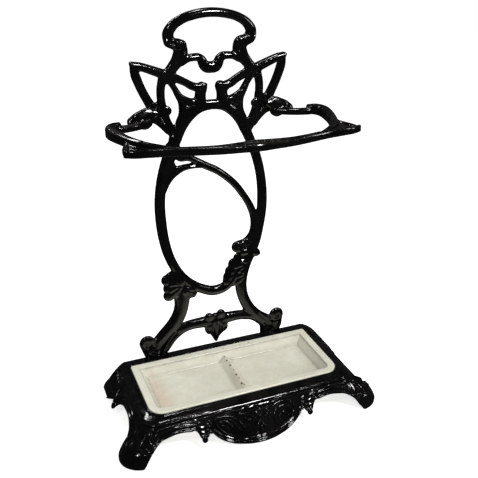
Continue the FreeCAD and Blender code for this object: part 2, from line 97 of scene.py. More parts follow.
# %% The batten
def smooth_path(knots, count):
    """count points on cubic pieces through the knots. Between knots p and q, at fraction t, the
    point is the Hermite blend of p, q and their slopes, with slopes taken from neighbouring chords."""
    k = np.asarray(knots, float)
    gap = np.maximum(np.linalg.norm(np.diff(k[:, :2], axis=0), axis=1), 1e-6)
    chord = np.diff(k, axis=0) / gap[:, None]
    slope = np.empty_like(k)
    slope[0], slope[-1] = chord[0], chord[-1]
    share = (gap[:-1] / (gap[:-1] + gap[1:]))[:, None]
    slope[1:-1] = chord[:-1] * (1 - share) + chord[1:] * share
    at = np.concatenate([[0.0], np.cumsum(gap)])
    s = np.linspace(0, at[-1], count)
    i = np.clip(np.searchsorted(at, s, side="right") - 1, 0, len(gap) - 1)
    t = ((s - at[i]) / gap[i])[:, None]
    g = gap[i][:, None]
    return (
        (2 * t**3 - 3 * t**2 + 1) * k[i]
        + (t**3 - 2 * t**2 + t) * g * slope[i]
        + (3 * t**2 - 2 * t**3) * k[i + 1]
        + (t**3 - t**2) * g * slope[i + 1]
    )


def mirror(knots):
    """The same line on the other side of the middle."""
    return [(-p[0],) + tuple(p[1:]) for p in knots]


def across(half):
    """A line that starts on the middle, completed by its mirror image."""
    return mirror(half[:0:-1]) + list(half)


print("a batten through 3 nails, 5 points:\n", smooth_path([(0, 0), (10, 5), (20, 0)], 5).round(1))

# %% [markdown]
# ## A bar
#
# Almost every stroke of the pattern is a bar: a flat back, upright sides and a crowned front that
# rises to a soft ridge. It could be a curve with a bevel object, but then its width could change
# only by scaling the whole section. Carrying the section along the path in numpy lets width, height
# and crown change separately, and rounds both ends.

# %% Bars, leaves, curls, beads and webs
FRONT_POINTS = 11                             # points across the crowned front of a bar
BACK_POINTS = [1.0, 0.9, 0.0, -0.9, -1.0]     # the same across its flat back, from edge to edge
STEEPEST = 0.42                               # a crown is at most this share of the width
FRONT_ARRIS = 0.9                             # millimetres taken off the front edges of a bar
BACK_ARRIS = 1.2                              # and off the rear ones


def length_of(path):
    """The sum of the steps between neighbouring points."""
    return float(np.linalg.norm(np.diff(path[:, :2], axis=0), axis=1).sum())


def with_round_ends(path, steps=5):
    """Adds a half-round to each end: width falls as the root of one minus the square of the way
    out, over half a width."""
    out = []
    for end, inner in ((path[0], path[1]), (path[-1], path[-2])):
        way = (end[:2] - inner[:2]) / max(np.linalg.norm(end[:2] - inner[:2]), 1e-9)
        t = np.sin(np.linspace(0, math.pi / 2, steps + 1)[1:])
        cap = np.tile(end, (steps, 1))
        cap[:, :2] += way * (t * end[2] / 2)[:, None]
        cap[:, 2] *= np.maximum(np.sqrt(1 - t**2), 0.05)
        out.append(cap)
    return np.vstack([out[0][::-1], path, out[1]])


def bar(knots, place, low=-9.8, high=0.0, crown=3.0, ridge=1.35, step=1.6):
    """A bar along knots of (u, v, width) or (u, v, width, lift). Across the bar, a runs from -1 to
    1, and the front stands at high + lift + crown * (1 - |a| ** ridge). The back is flat at low."""
    knots = [tuple(k) + (0.0,) * (4 - len(k)) for k in knots]
    rough = smooth_path(knots, 8 * len(knots))
    path = with_round_ends(smooth_path(knots, max(6, int(length_of(rough) / step))))
    along = np.gradient(path[:, :2], axis=0)
    along /= np.maximum(np.linalg.norm(along, axis=1), 1e-9)[:, None]
    side = np.stack([-along[:, 1], along[:, 0]], axis=1)
    a = np.concatenate([np.linspace(-1, 1, FRONT_POINTS), BACK_POINTS])
    is_front = np.arange(len(a)) < FRONT_POINTS
    at_edge = (np.abs(a) > 0.99)[None, :]
    width, lift = path[:, 2:3], path[:, 3:4]
    rise = np.minimum(crown, STEEPEST * width)
    h_front = high + lift + rise * (1 - np.abs(a)[None, :] ** ridge) - FRONT_ARRIS * at_edge
    h_back = low + BACK_ARRIS * at_edge + 0 * lift
    h = np.where(is_front, h_front, h_back)
    u = path[:, 0:1] + side[:, 0:1] * a * width / 2
    v = path[:, 1:2] + side[:, 1:2] * a * width / 2
    return tube(place(u, v, h))


def tube(grid):
    """Vertices and faces of a closed tube: grid rows are rings, and flat lids close both ends."""
    rows, cols = grid.shape[:2]
    i, j = np.meshgrid(np.arange(rows - 1), np.arange(cols), indexing="ij")
    k = (j + 1) % cols
    quads = np.stack([i * cols + j, i * cols + k, (i + 1) * cols + k, (i + 1) * cols + j], axis=-1)
    lids = [list(range(cols))[::-1], list(range((rows - 1) * cols, rows * cols))]
    return grid.reshape(-1, 3), quads.reshape(-1, 4).tolist() + lids


def leaf(knots, place, width, lift=2.0, crown=3.4, low=-6.0):
    """A leaf with a sharp midrib: its width is a sine over its length, and it arches between its ends."""
    line = smooth_path(knots, 9)
    s = np.linspace(0, 1, 9)
    wide = width * np.maximum(np.sin(math.pi * (0.12 + 0.86 * s)), 0.12)
    rise = lift * np.sin(math.pi * np.clip(s * 1.1, 0, 1)) ** 0.7
    rows = np.column_stack([line[:, :2], wide, rise])
    return bar(rows.tolist(), place, low=low, high=0.0, crown=crown, ridge=1.0, step=1.3)


def curl(u, v, radius, start, turns, width, place, lift=2.0, low=-6.0, spin=1):
    """A snail: the radius shrinks evenly with the angle, to about a fifth, while the strand thins to
    half its width and climbs."""
    t = np.linspace(0, 1, int(10 * turns) + 6)
    angle = math.radians(start) + spin * 2 * math.pi * turns * t
    r = radius * (1 - 0.78 * t)
    rows = np.column_stack([
        u + r * np.cos(angle), v + r * np.sin(angle), width * (1 - 0.5 * t), lift * (0.4 + 0.9 * t),
    ])
    return bar(rows.tolist(), place, low=low, high=0.0, crown=2.6, ridge=1.6, step=1.2)


def bead(u, v, radius, place, height=4.0, low=-9.0):
    """An egg by latitude and longitude: its front half is height high, its rear half reaches down to
    low, and its sides are squared off a little."""
    lat = np.linspace(-math.pi / 2, math.pi / 2, 15)[:, None]
    lon = np.linspace(0, 2 * math.pi, 24, endpoint=False)[None, :]
    flat = np.abs(np.cos(lat)) ** 0.7
    h = np.where(lat > 0, height * np.sin(lat), -low * np.sin(lat)) + 0 * lon
    return tube(place(u + radius * flat * np.cos(lon), v + radius * flat * np.sin(lon), h))


def web(edge_a, edge_b, place, low=-9.5, high=-0.8):
    """A flat web between two lines: straight rulings join them, and it has a front and a back."""
    a = smooth_path(edge_a, 24)[:, None, :2]
    b = smooth_path(edge_b, 24)[:, None, :2]
    t = np.concatenate([np.linspace(0, 1, 6), np.linspace(1, 0, 6)])[None, :, None]
    flat = a * (1 - t) + b * t
    h = np.concatenate([np.full(6, high), np.full(6, low)])[None, :] + 0 * flat[..., 0]
    return tube(place(flat[..., 0], flat[..., 1], h))


print("a bead has", len(bead(0, 0, 5, on_back)[0]), "points")

# %% [markdown]
# ## From strokes to a casting
#
# Molten iron knows no joints: where two strokes meet, the metal runs together in a small fillet.
# Boolean unions would leave sharp creases there. A voxel remesh melts all the strokes into one skin
# and a few smoothing passes round the meeting lines, as sand moulding and thick enamel do.

# %% Melt strokes into one casting
def new_object(name, verts, faces):
    mesh = bpy.data.meshes.new(name)
    mesh.from_pydata(np.asarray(verts).tolist(), [], faces)
    mesh.update()
    piece = bpy.data.objects.new(name, mesh)
    bpy.context.scene.collection.objects.link(piece)
    return piece


def pour(strokes):
    """All strokes as one list of points and faces."""
    verts, faces, start = [], [], 0
    for v, f in strokes:
        verts.append(v)
        faces += [[i + start for i in face] for face in f]
        start += len(v)
    return np.vstack(verts), faces


def apply_modifiers(piece):
    bpy.context.view_layer.update()
    graph = bpy.context.evaluated_depsgraph_get()
    done = bpy.data.meshes.new_from_object(piece.evaluated_get(graph))
    piece.modifiers.clear()
    old = piece.data
    piece.data = done
    bpy.data.meshes.remove(old)


def cast(name, strokes, grain, smooth):
    """One casting from many strokes. grain is the voxel in millimetres."""
    piece = new_object(name, *pour(strokes))
    melt = piece.modifiers.new("melt", "REMESH")
    melt.mode = "VOXEL"
    melt.voxel_size = grain * MM
    fillet = piece.modifiers.new("fillet", "SMOOTH")
    fillet.factor = 0.5
    fillet.iterations = smooth
    apply_modifiers(piece)
    shade_smooth(piece)
    return report(piece)


def shade_smooth(piece):
    piece.data.polygons.foreach_set("use_smooth", np.ones(len(piece.data.polygons), bool))
    piece.data.update()


def report(piece):
    mesh = piece.data
    corners = np.empty(len(mesh.vertices) * 3)
    mesh.vertices.foreach_get("co", corners)
    corners = corners.reshape(-1, 3)
    size = (corners.max(0) - corners.min(0)) / MM
    mesh.calc_loop_triangles()
    print(piece.name, "size", size.round(1), "mm,", len(mesh.loop_triangles), "triangles")
    return piece


# %% [markdown]
# ## The camera
#
# A normal lens looks from the front left, and down from above the handle. It is set before the
# pieces, so that each one can be judged as soon as it is made.

# %% Camera
CAMERA_PLACE = (-0.3883, LAP_Y - 1.0923, 0.8137)
CAMERA_LENS = 50.94                           # millimetres, on a sensor 36 wide
CAMERA_YAW = 21.85                            # degrees to the right of straight back
CAMERA_PITCH = 24.35                          # degrees below the level


def set_camera():
    data = bpy.data.cameras.new("view")
    data.lens = CAMERA_LENS
    data.sensor_width = 36.0
    camera = bpy.data.objects.new("view", data)
    camera.location = CAMERA_PLACE
    camera.rotation_euler = (math.radians(90 - CAMERA_PITCH), 0.0, math.radians(-CAMERA_YAW))
    bpy.context.scene.collection.objects.link(camera)
    bpy.context.scene.camera = camera


set_camera()
print("camera set")

# %% [markdown]
# ## The back casting
#
# The pattern is a plant: a stem loops into an oval, whips across it and ends in leaves. The lines
# below are its strokes, as sideways, up and width in millimetres. The upper half is the same on
# both sides, so those strokes are drawn once and mirrored.

# %% Strokes of the back's upper half
HANDLE = across([(0, 695.5, 15), (26, 693, 15), (50, 686, 15), (65, 676.5, 16), (73, 664, 18),
                 (71, 652, 19)])
HANDLE_FOOT = [(71, 652, 19), (62.5, 648, 19), (54, 645, 21.5), (51.5, 637, 22), (53, 627, 23)]
NECK = [(54, 632, 22), (58, 622, 21), (65, 613, 19), (74, 603, 17)]
ARCH = across([(0, 607, 19), (8, 608, 19.5), (13, 613, 17.5), (16, 620, 15), (22, 624.5, 13.5),
               (30, 625, 12.5), (40, 624, 12.5), (52, 618, 12.5)])
WHIP = [(136, 620.5, 8, 1), (126, 617, 12.5, 1), (112, 612, 14, 1), (98, 606.5, 15, 1), (80, 599.5, 15.5, 1),
        (62, 592.5, 14, 1), (46, 584.5, 13, 1), (33, 577, 14, 1), (23, 575, 13, 1), (14, 576.5, 11, 1)]
WING = [(135, 620, 8), (131, 603, 15), (126, 588, 15), (118.5, 570.5, 15), (109.5, 553, 16), (103, 540, 19)]
LEAF = [(84, 600, 13), (87, 588, 13.5), (89.5, 574, 13.5), (89.5, 560, 13.5), (88, 549, 13.5), (85, 537, 13),
        (80, 522, 12), (73, 506, 14)]
LEAF_CROTCH = [(79, 600, 18), (79, 591.5, 14)]
INNER_LEAF = [(76, 592, 11), (66, 577, 10), (59.5, 565, 12), (53.5, 553, 13), (51.5, 541, 14), (53, 528, 14),
              (58, 516, 15)]
SMALL_RIB = [(61, 572, 6.5), (54, 562, 7.5), (46, 556.5, 8.5), (37, 552.5, 9), (27, 552, 9)]
KNOB_STEM = [(17, 574, 19), (19.5, 564, 18.5), (20.5, 553, 20)]
OVAL_TOP = across([(0, 543.5, 17), (22, 539.5, 17), (39, 528, 17), (54, 511, 18), (65, 491, 19)])
SPANDREL_OUT = [(18, 552), (30, 554), (42, 556), (50, 552), (54, 540), (56, 527), (62, 519), (70, 510)]
SPANDREL_IN = [(6, 543), (20, 540), (32, 534), (42, 525), (50, 516), (56, 508), (61, 500), (64, 492)]
WING_WEB_OUT = [(112, 550), (111, 540), (106, 528), (98, 520), (90, 513), (83, 506), (78, 494)]
WING_WEB_IN = [(96, 556), (91, 548), (87, 537), (83, 523), (78, 509), (72, 497), (67, 486)]


def upper_strokes():
    out = [bar(HANDLE, on_back, crown=3.6), bar(ARCH, on_back, crown=3.4), bar(OVAL_TOP, on_back, crown=3.2)]
    singles = [HANDLE_FOOT, NECK, WHIP, WING, LEAF, LEAF_CROTCH, INNER_LEAF, SMALL_RIB, KNOB_STEM]
    for line in singles:
        out += [bar(line, on_back), bar(mirror(line), on_back)]
    for a, b in ((SPANDREL_OUT, SPANDREL_IN), (WING_WEB_OUT, WING_WEB_IN)):
        out += [web(a, b, on_back), web(mirror(a), mirror(b), on_back)]
    return out


print(len(upper_strokes()), "strokes in the upper half")

# %% Strokes of the back's lower half
OVAL_RIGHT = [(65, 491, 18), (76, 466, 17), (87.5, 434, 17), (95, 400, 17), (98.3, 364, 18), (97.3, 330, 18),
              (93, 300, 17), (86.5, 272, 18), (78, 252, 20)]
OVAL_LEFT = [(-65, 491, 20), (-78, 466, 20), (-90, 436, 18), (-97.5, 403, 18.5), (-100.8, 370, 19),
             (-100, 335, 19.5), (-96, 300, 19), (-88.5, 268, 18.5), (-78, 242, 18), (-62.5, 217, 18),
             (-44.5, 199, 18), (-24.5, 186, 18), (-3.5, 178, 19), (16.5, 180, 19), (32.5, 190, 18),
             (42.5, 204, 20)]
INNER_WHIP = [(-70, 488, 18), (-68, 472, 18), (-59, 457.5, 20), (-46, 453.5, 13), (-33, 447, 11.5),
              (-20, 438.5, 13.5), (-8, 431.5, 13.5), (6, 424, 13.5), (22, 412, 13.5), (42, 393, 13.5),
              (59, 370, 13), (73.5, 345, 13.5), (82, 321, 14.5), (82.5, 298, 14), (77, 282, 14),
              (65, 271, 14), (50, 267, 15)]
LOWER_WHIP = [(-93, 396, 10), (-87, 410, 12), (-78, 423, 14), (-66, 431.5, 14), (-55, 435, 10.5),
              (-44, 436.5, 9.5), (-32, 436.5, 9), (-20, 435.5, 9)]
SLIT_WEB_OUT = [(-84, 482), (-88, 464), (-90, 448), (-91, 436), (-93, 420), (-94, 402)]
SLIT_WEB_IN = [(-64, 480), (-69, 460), (-70.5, 447), (-66, 437), (-74, 422), (-85, 408)]
LEG_RIGHT = [(75, 252, 26), (63, 227, 27), (57, 203, 25), (55.5, 180, 23), (58.5, 158, 22), (63.5, 143, 22),
             (71.5, 126, 23), (82, 110, 25), (96, 96, 26), (110, 84, 29), (118, 64, 40)]
LEG_LEFT = [(-74.5, 224, 25), (-68.5, 202, 31), (-66.5, 178, 31), (-68, 158, 28), (-72, 143, 27),
            (-79.5, 128, 27), (-90.5, 113, 28), (-102.5, 100, 29), (-112.5, 86, 33), (-121, 64, 42)]
CROSSBAR = across([(0, 110, 22), (18, 111, 22), (36, 111.5, 20), (54, 110.5, 19), (74, 106, 19)])
FILLET_RIGHT = [(30, 108, 15), (50, 109, 14), (64, 107, 13), (76, 102.5, 13), (88, 95, 13), (97, 86.5, 13),
                (104.5, 75, 13), (106, 64, 13)]
FILLET_LEFT = [(-26.5, 108, 15), (-46.5, 109, 15), (-62.5, 106, 14), (-75.5, 99, 13), (-86.5, 90, 13),
               (-96.5, 78, 13), (-106, 65, 13)]
COLLAR = [(58, 251, 14, 1), (74, 250, 18, 1), (86, 246, 17, 1)]
ANKLE_RIGHT = [(137, 88, 21), (134.5, 76, 22), (129, 64, 27)]
ANKLE_LEFT = [(-144.5, 86, 20), (-139.5, 74, 22), (-134, 64, 26)]


def lower_strokes():
    out = [bar(INNER_WHIP, on_back, crown=3.6), bar(LOWER_WHIP, on_back)]
    full = [OVAL_RIGHT, OVAL_LEFT, LEG_RIGHT, LEG_LEFT, FILLET_RIGHT, FILLET_LEFT, ANKLE_RIGHT, ANKLE_LEFT]
    out += [bar(line, on_back, crown=4.0) for line in full + [CROSSBAR]]
    out.append(bar(COLLAR, on_back))
    out.append(web(SLIT_WEB_OUT, SLIT_WEB_IN, on_back))
    return out


print(len(lower_strokes()), "strokes in the lower half")

# %% [markdown]
# ## Leaves, curls and beads
#
# The carver of the pattern laid ornaments over the strokes: rolled leaf tips on the handle, buds at
# the ends of the whips, two leaf clusters low on the oval, a pendant under the crossbar and a
# snail at each ankle. They are the same few functions, with more lift.

# %% Ornaments of the back
def upper_ornaments():
    """Drawn on the right, and mirrored by mirroring the sheet itself."""
    out = []
    for side in (one_side(on_back, 1), one_side(on_back, -1)):
        out.append(curl(54, 645, 7.5, 150, 1.0, 5, side, lift=3.4, spin=-1))
        out.append(bead(52, 646, 9.5, side, height=3.6))
        out.append(leaf([(80, 662), (76, 652), (66, 645), (58, 634)], side, 8, lift=3.0))
        out.append(leaf([(72, 655), (60, 652), (52, 643), (48, 632)], side, 6, lift=3.0))
        out.append(leaf([(48, 638), (48, 630), (54, 620)], side, 6, lift=3.0))
        out.append(bar([(38, 581, 4, 2), (24, 578.5, 5, 2.4), (10, 580, 4, 2.4)], side, low=-4, crown=2.0))
        out.append(leaf([(30, 576), (21, 574), (11, 571)], side, 7, lift=2.6))
        out.append(leaf([(32, 571), (24, 567), (17, 563)], side, 5, lift=2.6))
        out.append(curl(22, 556, 6, 200, 0.9, 4, side, lift=3.0))
        out.append(leaf([(58, 553), (50, 546), (41, 543), (36, 547)], side, 6, lift=2.6))
        for k in range(4):
            vein = [(50 - 6 * k, 556 - k), (44 - 6 * k, 549 - k), (35 - 6 * k, 547 - 0.6 * k)]
            out.append(leaf(vein, side, 5, lift=1.4))
        out.append(bead(81, 540, 8.5, side, height=3.6))
        out.append(curl(81, 540, 6, 20, 1.0, 4, side, lift=2.2))
        out.append(leaf([(104, 530), (94, 519), (84, 510), (75, 496)], side, 5, lift=1.8))
        out.append(leaf([(108, 541), (98, 527), (87, 515), (79, 500)], side, 4.5, lift=1.6))
        out.append(bar([(113, 548, 7, 1), (102, 536, 6, 1), (92, 524, 5, 1), (84, 514, 4, 1)], side, low=-4))
        cord = [(60, 500, 4, 1.2), (46, 522, 4, 1.2), (24, 534, 4, 1.2), (0, 538, 4, 1.2)]
        out.append(bar(cord, side, low=-4, crown=2.4))
        out.append(bead(0, 606, 8, side, height=3.4))
    return out


LOBE_BEND = 28.0


def cluster(u, v, lobes, place):
    """Leaf lobes fanned from one root: each is (angle, length, width), and turns by LOBE_BEND degrees
    half-way along."""
    out = []
    for angle, length, width in lobes:
        a = math.radians(angle)
        bend = math.radians(angle + LOBE_BEND)
        half = 0.5 * length
        knee = (u + half * math.cos(a), v + half * math.sin(a))
        tip = (u + half * (math.cos(a) + math.cos(bend)), v + half * (math.sin(a) + math.sin(bend)))
        out.append(leaf([(u, v), knee, tip], place, width, lift=3.0))
    return out


HIGH_BEADS = ((38, 232, 12.5), (30, 218, 11), (26, 206, 11), (23, 197, 9),
              (-97, 222, 11.5), (-95, 204, 10.5), (-94, 189, 12), (-48, 184, 9))
FLAT_BEADS = ((46, 244, 9), (44, 222, 12), (42, 206, 12),
              (-88, 226, 13), (-86, 206, 14), (-84, 192, 12), (-60, 186, 14))
RIGHT_UPPER_LOBES = ((112, 22, 9), (148, 28, 10), (178, 36, 11), (204, 38, 11), (228, 40, 11))
RIGHT_LOWER_LOBES = ((140, 26, 9), (175, 34, 10), (205, 36, 10))
LEFT_UPPER_LOBES = ((112, 26, 10), (140, 34, 12), (160, 38, 12), (188, 38, 12), (212, 36, 11))
LEFT_LOWER_LOBES = ((-80, 24, 9), (-50, 30, 10), (-25, 34, 10))


def lower_place(u, v, d):
    """The upright sheet, moved a little to the right and down."""
    return on_back(u + 1.5, v - 2.0, d)


def lower_ornaments():
    """The curled end of the inner whip, the two leaf clusters with their beads, the snails and leaves
    of the ankles, and the pendant."""
    place = lower_place
    out = [bead(45, 267, 12, place, height=4.5), curl(45, 267, 9, 20, 1.3, 6, place, lift=3.6)]
    out += [bead(u, v, r, place) for u, v, r in HIGH_BEADS]
    out += [bead(u, v, r, place, height=3.0) for u, v, r in FLAT_BEADS]
    out += cluster(68, 228, RIGHT_UPPER_LOBES, place) + cluster(64, 204, RIGHT_LOWER_LOBES, place)
    out += cluster(-66, 206, LEFT_UPPER_LOBES, place) + cluster(-66, 202, LEFT_LOWER_LOBES, place)
    out += [bead(-142, 94, 16, place, height=5.0), bead(131, 99, 15.5, place, height=5.0)]
    out.append(curl(-142, 94, 12.5, -30, 1.4, 7, place, lift=4.0, spin=-1))
    out.append(curl(131, 98, 12, 210, 1.3, 7, place, lift=4.0))
    out.append(leaf([(-150, 80), (-140, 70), (-124, 68), (-108, 76)], place, 9))
    out.append(leaf([(143, 82), (136, 70), (122, 67), (108, 75)], place, 9))
    vein = [(-90, 122, 4, 2), (-104, 108, 5, 2.4), (-120, 92, 5, 2.4), (-132, 80, 4, 2)]
    out.append(bar(vein, place, low=-3))
    out.append(bar([(92, 112, 4, 2), (108, 98, 5, 2.4), (124, 86, 4, 2)], place, low=-3))
    return out + pendant(place)


def pendant(place):
    """The bud in the middle of the crossbar: two ears above, a knob on each side, and five leaves and
    two curls on a body that hangs to a point."""
    out = [bead(-15, 124, 9, place, height=4.2), bead(10, 127, 9, place, height=4.2)]
    out += [bead(-17, 106, 9, place, height=3.6), bead(16, 106, 9, place, height=3.6)]
    out.append(bar([(0, 116, 22), (0, 103, 38), (-1, 91, 32), (-1, 79, 19), (-1, 68, 7)], place, crown=3.0))
    out.append(leaf([(0, 124), (0, 104), (-1, 84), (-1, 66)], place, 12, lift=4.8))
    for side in (-1, 1):
        inner = [(side * 3, 116), (side * 12, 104), (side * 13, 90), (side * 8, 78)]
        outer = [(side * 5, 110), (side * 18, 104), (side * 21, 94), (side * 17, 84)]
        out += [leaf(inner, place, 9, lift=3.4), leaf(outer, place, 7, lift=2.4)]
        out.append(curl(side * 13, 112, 6, 90, 0.9, 4, place, lift=3.4, spin=-side))
    return out


TAB_MIDDLE, TAB_WIDTH = 122.0, 36.0


def foot_tabs():
    """The flat tabs that lap behind the base, with round lower ends."""
    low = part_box("back_casting")[0].z / MM
    out = []
    for x in (-TAB_MIDDLE, TAB_MIDDLE):
        tab = [(x, v, TAB_WIDTH) for v in (BASE_TOP + 6, BASE_TOP - 8, low + TAB_WIDTH / 2)]
        out.append(bar(tab, on_back, high=-0.6, crown=0.0))
    return out


def ears():
    """The flat lugs that the rail's arms are screwed to."""
    lug = [(108, 533, 22), (98, 527, 19), (88, 518, 18), (78, 506, 17)]
    return [bar(line, on_back, crown=0.0, high=-0.4) for line in (lug, mirror(lug))]


BACK_STROKES = upper_strokes() + lower_strokes()
BACK_STROKES += upper_ornaments() + lower_ornaments() + foot_tabs() + ears()
back = cast("back_casting_detail", BACK_STROKES, grain=1.56, smooth=3)

# %% [markdown]
# ## The rail
#
# The rail is one casting: a front bar that swells in the middle, two loops that sweep back to
# the arms, and a thin web in each corner between loop and bar. It lies level, so its strokes go on
# the level sheet, with the ridge on top.

# %% Strokes of the rail
FRONT_BAR = across([(0, 196.8, 29), (25, 196.5, 24), (56, 196, 17.5), (91, 189, 15), (129, 180.5, 11.5),
                    (163, 176, 9), (180, 172.5, 9), (193, 167.5, 6)])
LIP_FRONT = across([(0, 208.5, 4), (25, 205, 3.6), (56, 202, 3.4), (91, 194.5, 3.2), (129, 184, 3),
                    (163, 178.5, 3), (188, 171, 3)])
LIP_REAR = across([(0, 185.5, 3.6), (25, 189, 3.4), (56, 191.5, 3.2), (91, 186, 3.2), (114, 179, 3)])
LOOP = [(108, 186, 8, -2), (126, 175, 10, 0), (146, 159, 12, 1.5), (162, 140, 14, 2.5), (175, 111, 15, 3),
        (183.5, 84, 17, 3.5), (188.2, 62, 18.2, 4.5), (187.8, 47, 17.6, 5.5), (181.5, 35.5, 14.5, 6),
        (172.5, 30, 11, 5)]
ARM = [(170, 32, 13, 0), (152, 28, 12.5, 0), (137, 21.5, 12.5, 0), (125, 14, 12, 0), (116, 9, 11, 0)]
TIP_INNER = [(126, 176), (148, 159), (164, 141), (177, 114)]
TIP_OUTER = [(128, 181), (152, 177), (176, 171), (190, 166)]
TIP_EDGE = [(191, 164, 8), (189, 150, 9), (184, 133, 8), (180, 116, 5)]
BAR_TOP = 9.8                                 # height of the rail's shoulders above its underside
FLUTES = (-5.5, 0.0, 5.5)                     # places across a loop of the width FLUTED
FLUTED = 17.0


def arm_root(place):
    """A rolled leaf: a broad lobe above, a hook below, and a curl on its face."""
    lobe = [(105, 539, 17, 0), (114, 538, 24, 1), (126, 533.5, 25, 3), (137, 530, 22, 3), (143, 528, 17, 1)]
    hook = [(112, 529, 13), (115, 521, 11), (121, 517, 9), (130, 518, 6)]
    out = [bar(lobe, place, low=0.3, high=7.0, crown=4.5), bar(hook, place, low=0.3, high=6.0, crown=4.0)]
    out.append(curl(115, 531, 10, 60, 1.2, 6, place, lift=7.5, low=2.0, spin=-1))
    out.append(leaf([(106, 546), (120, 545), (134, 536), (148, 529)], place, 8, lift=8.0, low=2.0))
    out.append(leaf([(112, 519), (122, 522), (134, 523), (148, 524)], place, 6, lift=7.0, low=2.0))
    return out


def rail_strokes():
    """The front bar and its two raised lips, then loop, arm, corner, root and flutes on each side."""
    out = [bar(FRONT_BAR, on_rail, low=0.0, high=BAR_TOP, crown=2.6, ridge=2.2)]
    out.append(bar(LIP_FRONT, on_rail, low=6.0, high=11.0, crown=1.2))
    out.append(bar(LIP_REAR, on_rail, low=6.0, high=11.2, crown=1.2))
    for line, high in ((LOOP, BAR_TOP), (ARM, 9.0)):
        out += [bar(way, on_rail, low=0.0, high=high, crown=3.2, ridge=1.8) for way in (line, mirror(line))]
    out.append(web(TIP_INNER, TIP_OUTER, on_rail, low=0.4, high=7.0))
    out.append(web(mirror(TIP_INNER), mirror(TIP_OUTER), on_rail, low=0.4, high=7.0))
    for side in (-1, 1):
        out += arm_root(one_side(on_back, side))
        edge = [(side * u, v, width) for u, v, width in TIP_EDGE]
        out.append(bar(edge, on_rail, low=0.4, high=8.6, crown=1.4))
        for at in FLUTES:
            flute = [(side * (u + at * w / FLUTED), v, 2.6, lift + 1.6) for u, v, w, lift in LOOP[3:]]
            out.append(bar(flute, on_rail, low=5.0, high=BAR_TOP, crown=1.0))
    return out


rail = cast("umbrella_rail_detail", rail_strokes(), grain=1.3, smooth=3)

# %% [markdown]
# ## The base
#
# The base is a hollow skirt: it falls from a flat rim, flares out and ends in arches, a middle lobe,
# two spurs and four club feet. A skirt is one function of two parameters. The first walks round the
# rim, the second walks down the outside, under the edge, up the inside and back along the top plate,
# so the whole casting is a closed ring of rings and needs no lids.

# %% Walking round the rim
RIM_HALF, RIM_FRONT = 196.0, 197.0            # the rim's half length, and its reach forward of the lap
FRONT_R, REAR_R = 24.0, 8.0                   # plan radii of its corners
SIDE_FLARE, FRONT_FLARE = 42.0, 29.0          # how far the skirt spreads between rim and floor
LOBE_FLARE, FOOT_FLARE = 18.5, 22.0           # what the lobe and the front feet add to it
LOBE_HALF = 92.0
FRONT_EDGE, CORNER, SIDE_EDGE, REAR_CORNER, REAR_EDGE = range(5)


def walk_right_half():
    """Columns from the middle of the front to the middle of the rear: which stretch each is on, and
    how far along that stretch it is, as a number (x, degrees or forward distance)."""
    parts = [
        (FRONT_EDGE, np.linspace(0, RIM_HALF - FRONT_R, 132, endpoint=False)),
        (CORNER, np.linspace(0, 90, 72, endpoint=False)),
        (SIDE_EDGE, np.linspace(RIM_FRONT - FRONT_R, REAR_R, 92, endpoint=False)),
        (REAR_CORNER, np.linspace(0, 90, 20, endpoint=False)),
        (REAR_EDGE, np.linspace(RIM_HALF - REAR_R, 0, 44)),
    ]
    kind = np.concatenate([np.full(len(v), k) for k, v in parts])
    return kind, np.concatenate([v for _, v in parts])


KIND, ALONG = walk_right_half()
IS = [KIND == k for k in range(5)]
ANGLE = np.radians(np.where(IS[CORNER] | IS[REAR_CORNER], ALONG, 0.0))


def rim(side_in=0.0, front_in=0.0, rear_in=0.0, front_r=FRONT_R, rear_r=REAR_R):
    """The rim's plan, drawn in by an inset on each side: sideways and forward of every column."""
    half, front, rear = RIM_HALF - side_in, RIM_FRONT - front_in, rear_in
    s = np.where(IS[FRONT_EDGE], ALONG / (RIM_HALF - FRONT_R), 0.0)
    x_front = s * (half - front_r)
    along_side = (RIM_FRONT - FRONT_R - ALONG) / (RIM_FRONT - FRONT_R - REAR_R)
    f_side = (front - front_r) + along_side * (rear + rear_r - front + front_r)
    x_rear = ALONG / (RIM_HALF - REAR_R) * (half - rear_r)
    x = np.select(IS, [x_front, half - front_r + front_r * np.sin(ANGLE), half + 0 * ALONG,
                       half - rear_r + rear_r * np.cos(ANGLE), x_rear])
    f = np.select(IS, [front + 0 * ALONG, front - front_r + front_r * np.cos(ANGLE), f_side,
                       rear + rear_r - rear_r * np.sin(ANGLE), rear + 0 * ALONG])
    return x, f


TRAY_LOW, TRAY_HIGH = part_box("drip_tray")
TRAY_HALF = (TRAY_HIGH.x - TRAY_LOW.x) / 2 / MM
TRAY_STRIPS = (RIM_HALF - TRAY_HALF, RIM_FRONT - (LAP_Y - TRAY_LOW.y) / MM, (LAP_Y - TRAY_HIGH.y) / MM)


def round_tray(gap, front_r, rear_r):
    """The tray's outline with a gap all round, in the columns of the rim."""
    side_in, front_in, rear_in = (strip - gap for strip in TRAY_STRIPS)
    return rim(side_in, front_in, rear_in, front_r, rear_r)


print(len(KIND), "columns in half the rim")

# %% The flare
def sweep(h):
    """The skirt spreads most just under the rim and is upright at the floor: 1 - (1 - h) ** 1.5."""
    return 1 - np.clip(1 - h, 0, 1) ** 1.5


def height_share(z):
    """Zero at the base's top and one at the floor."""
    return np.clip(1 - z / BASE_TOP, 0, 1)


def bell(d, middle, half_width):
    """One at the middle, and e to the minus of the squared distance in half widths."""
    return np.exp(-(((d - middle) / half_width) ** 2))


def smooth_step(low, high, x):
    """Zero before low and one after high, with level ends: three t squared minus two t cubed."""
    t = np.clip((x - low) / (high - low), 0, 1)
    return t * t * (3 - 2 * t)


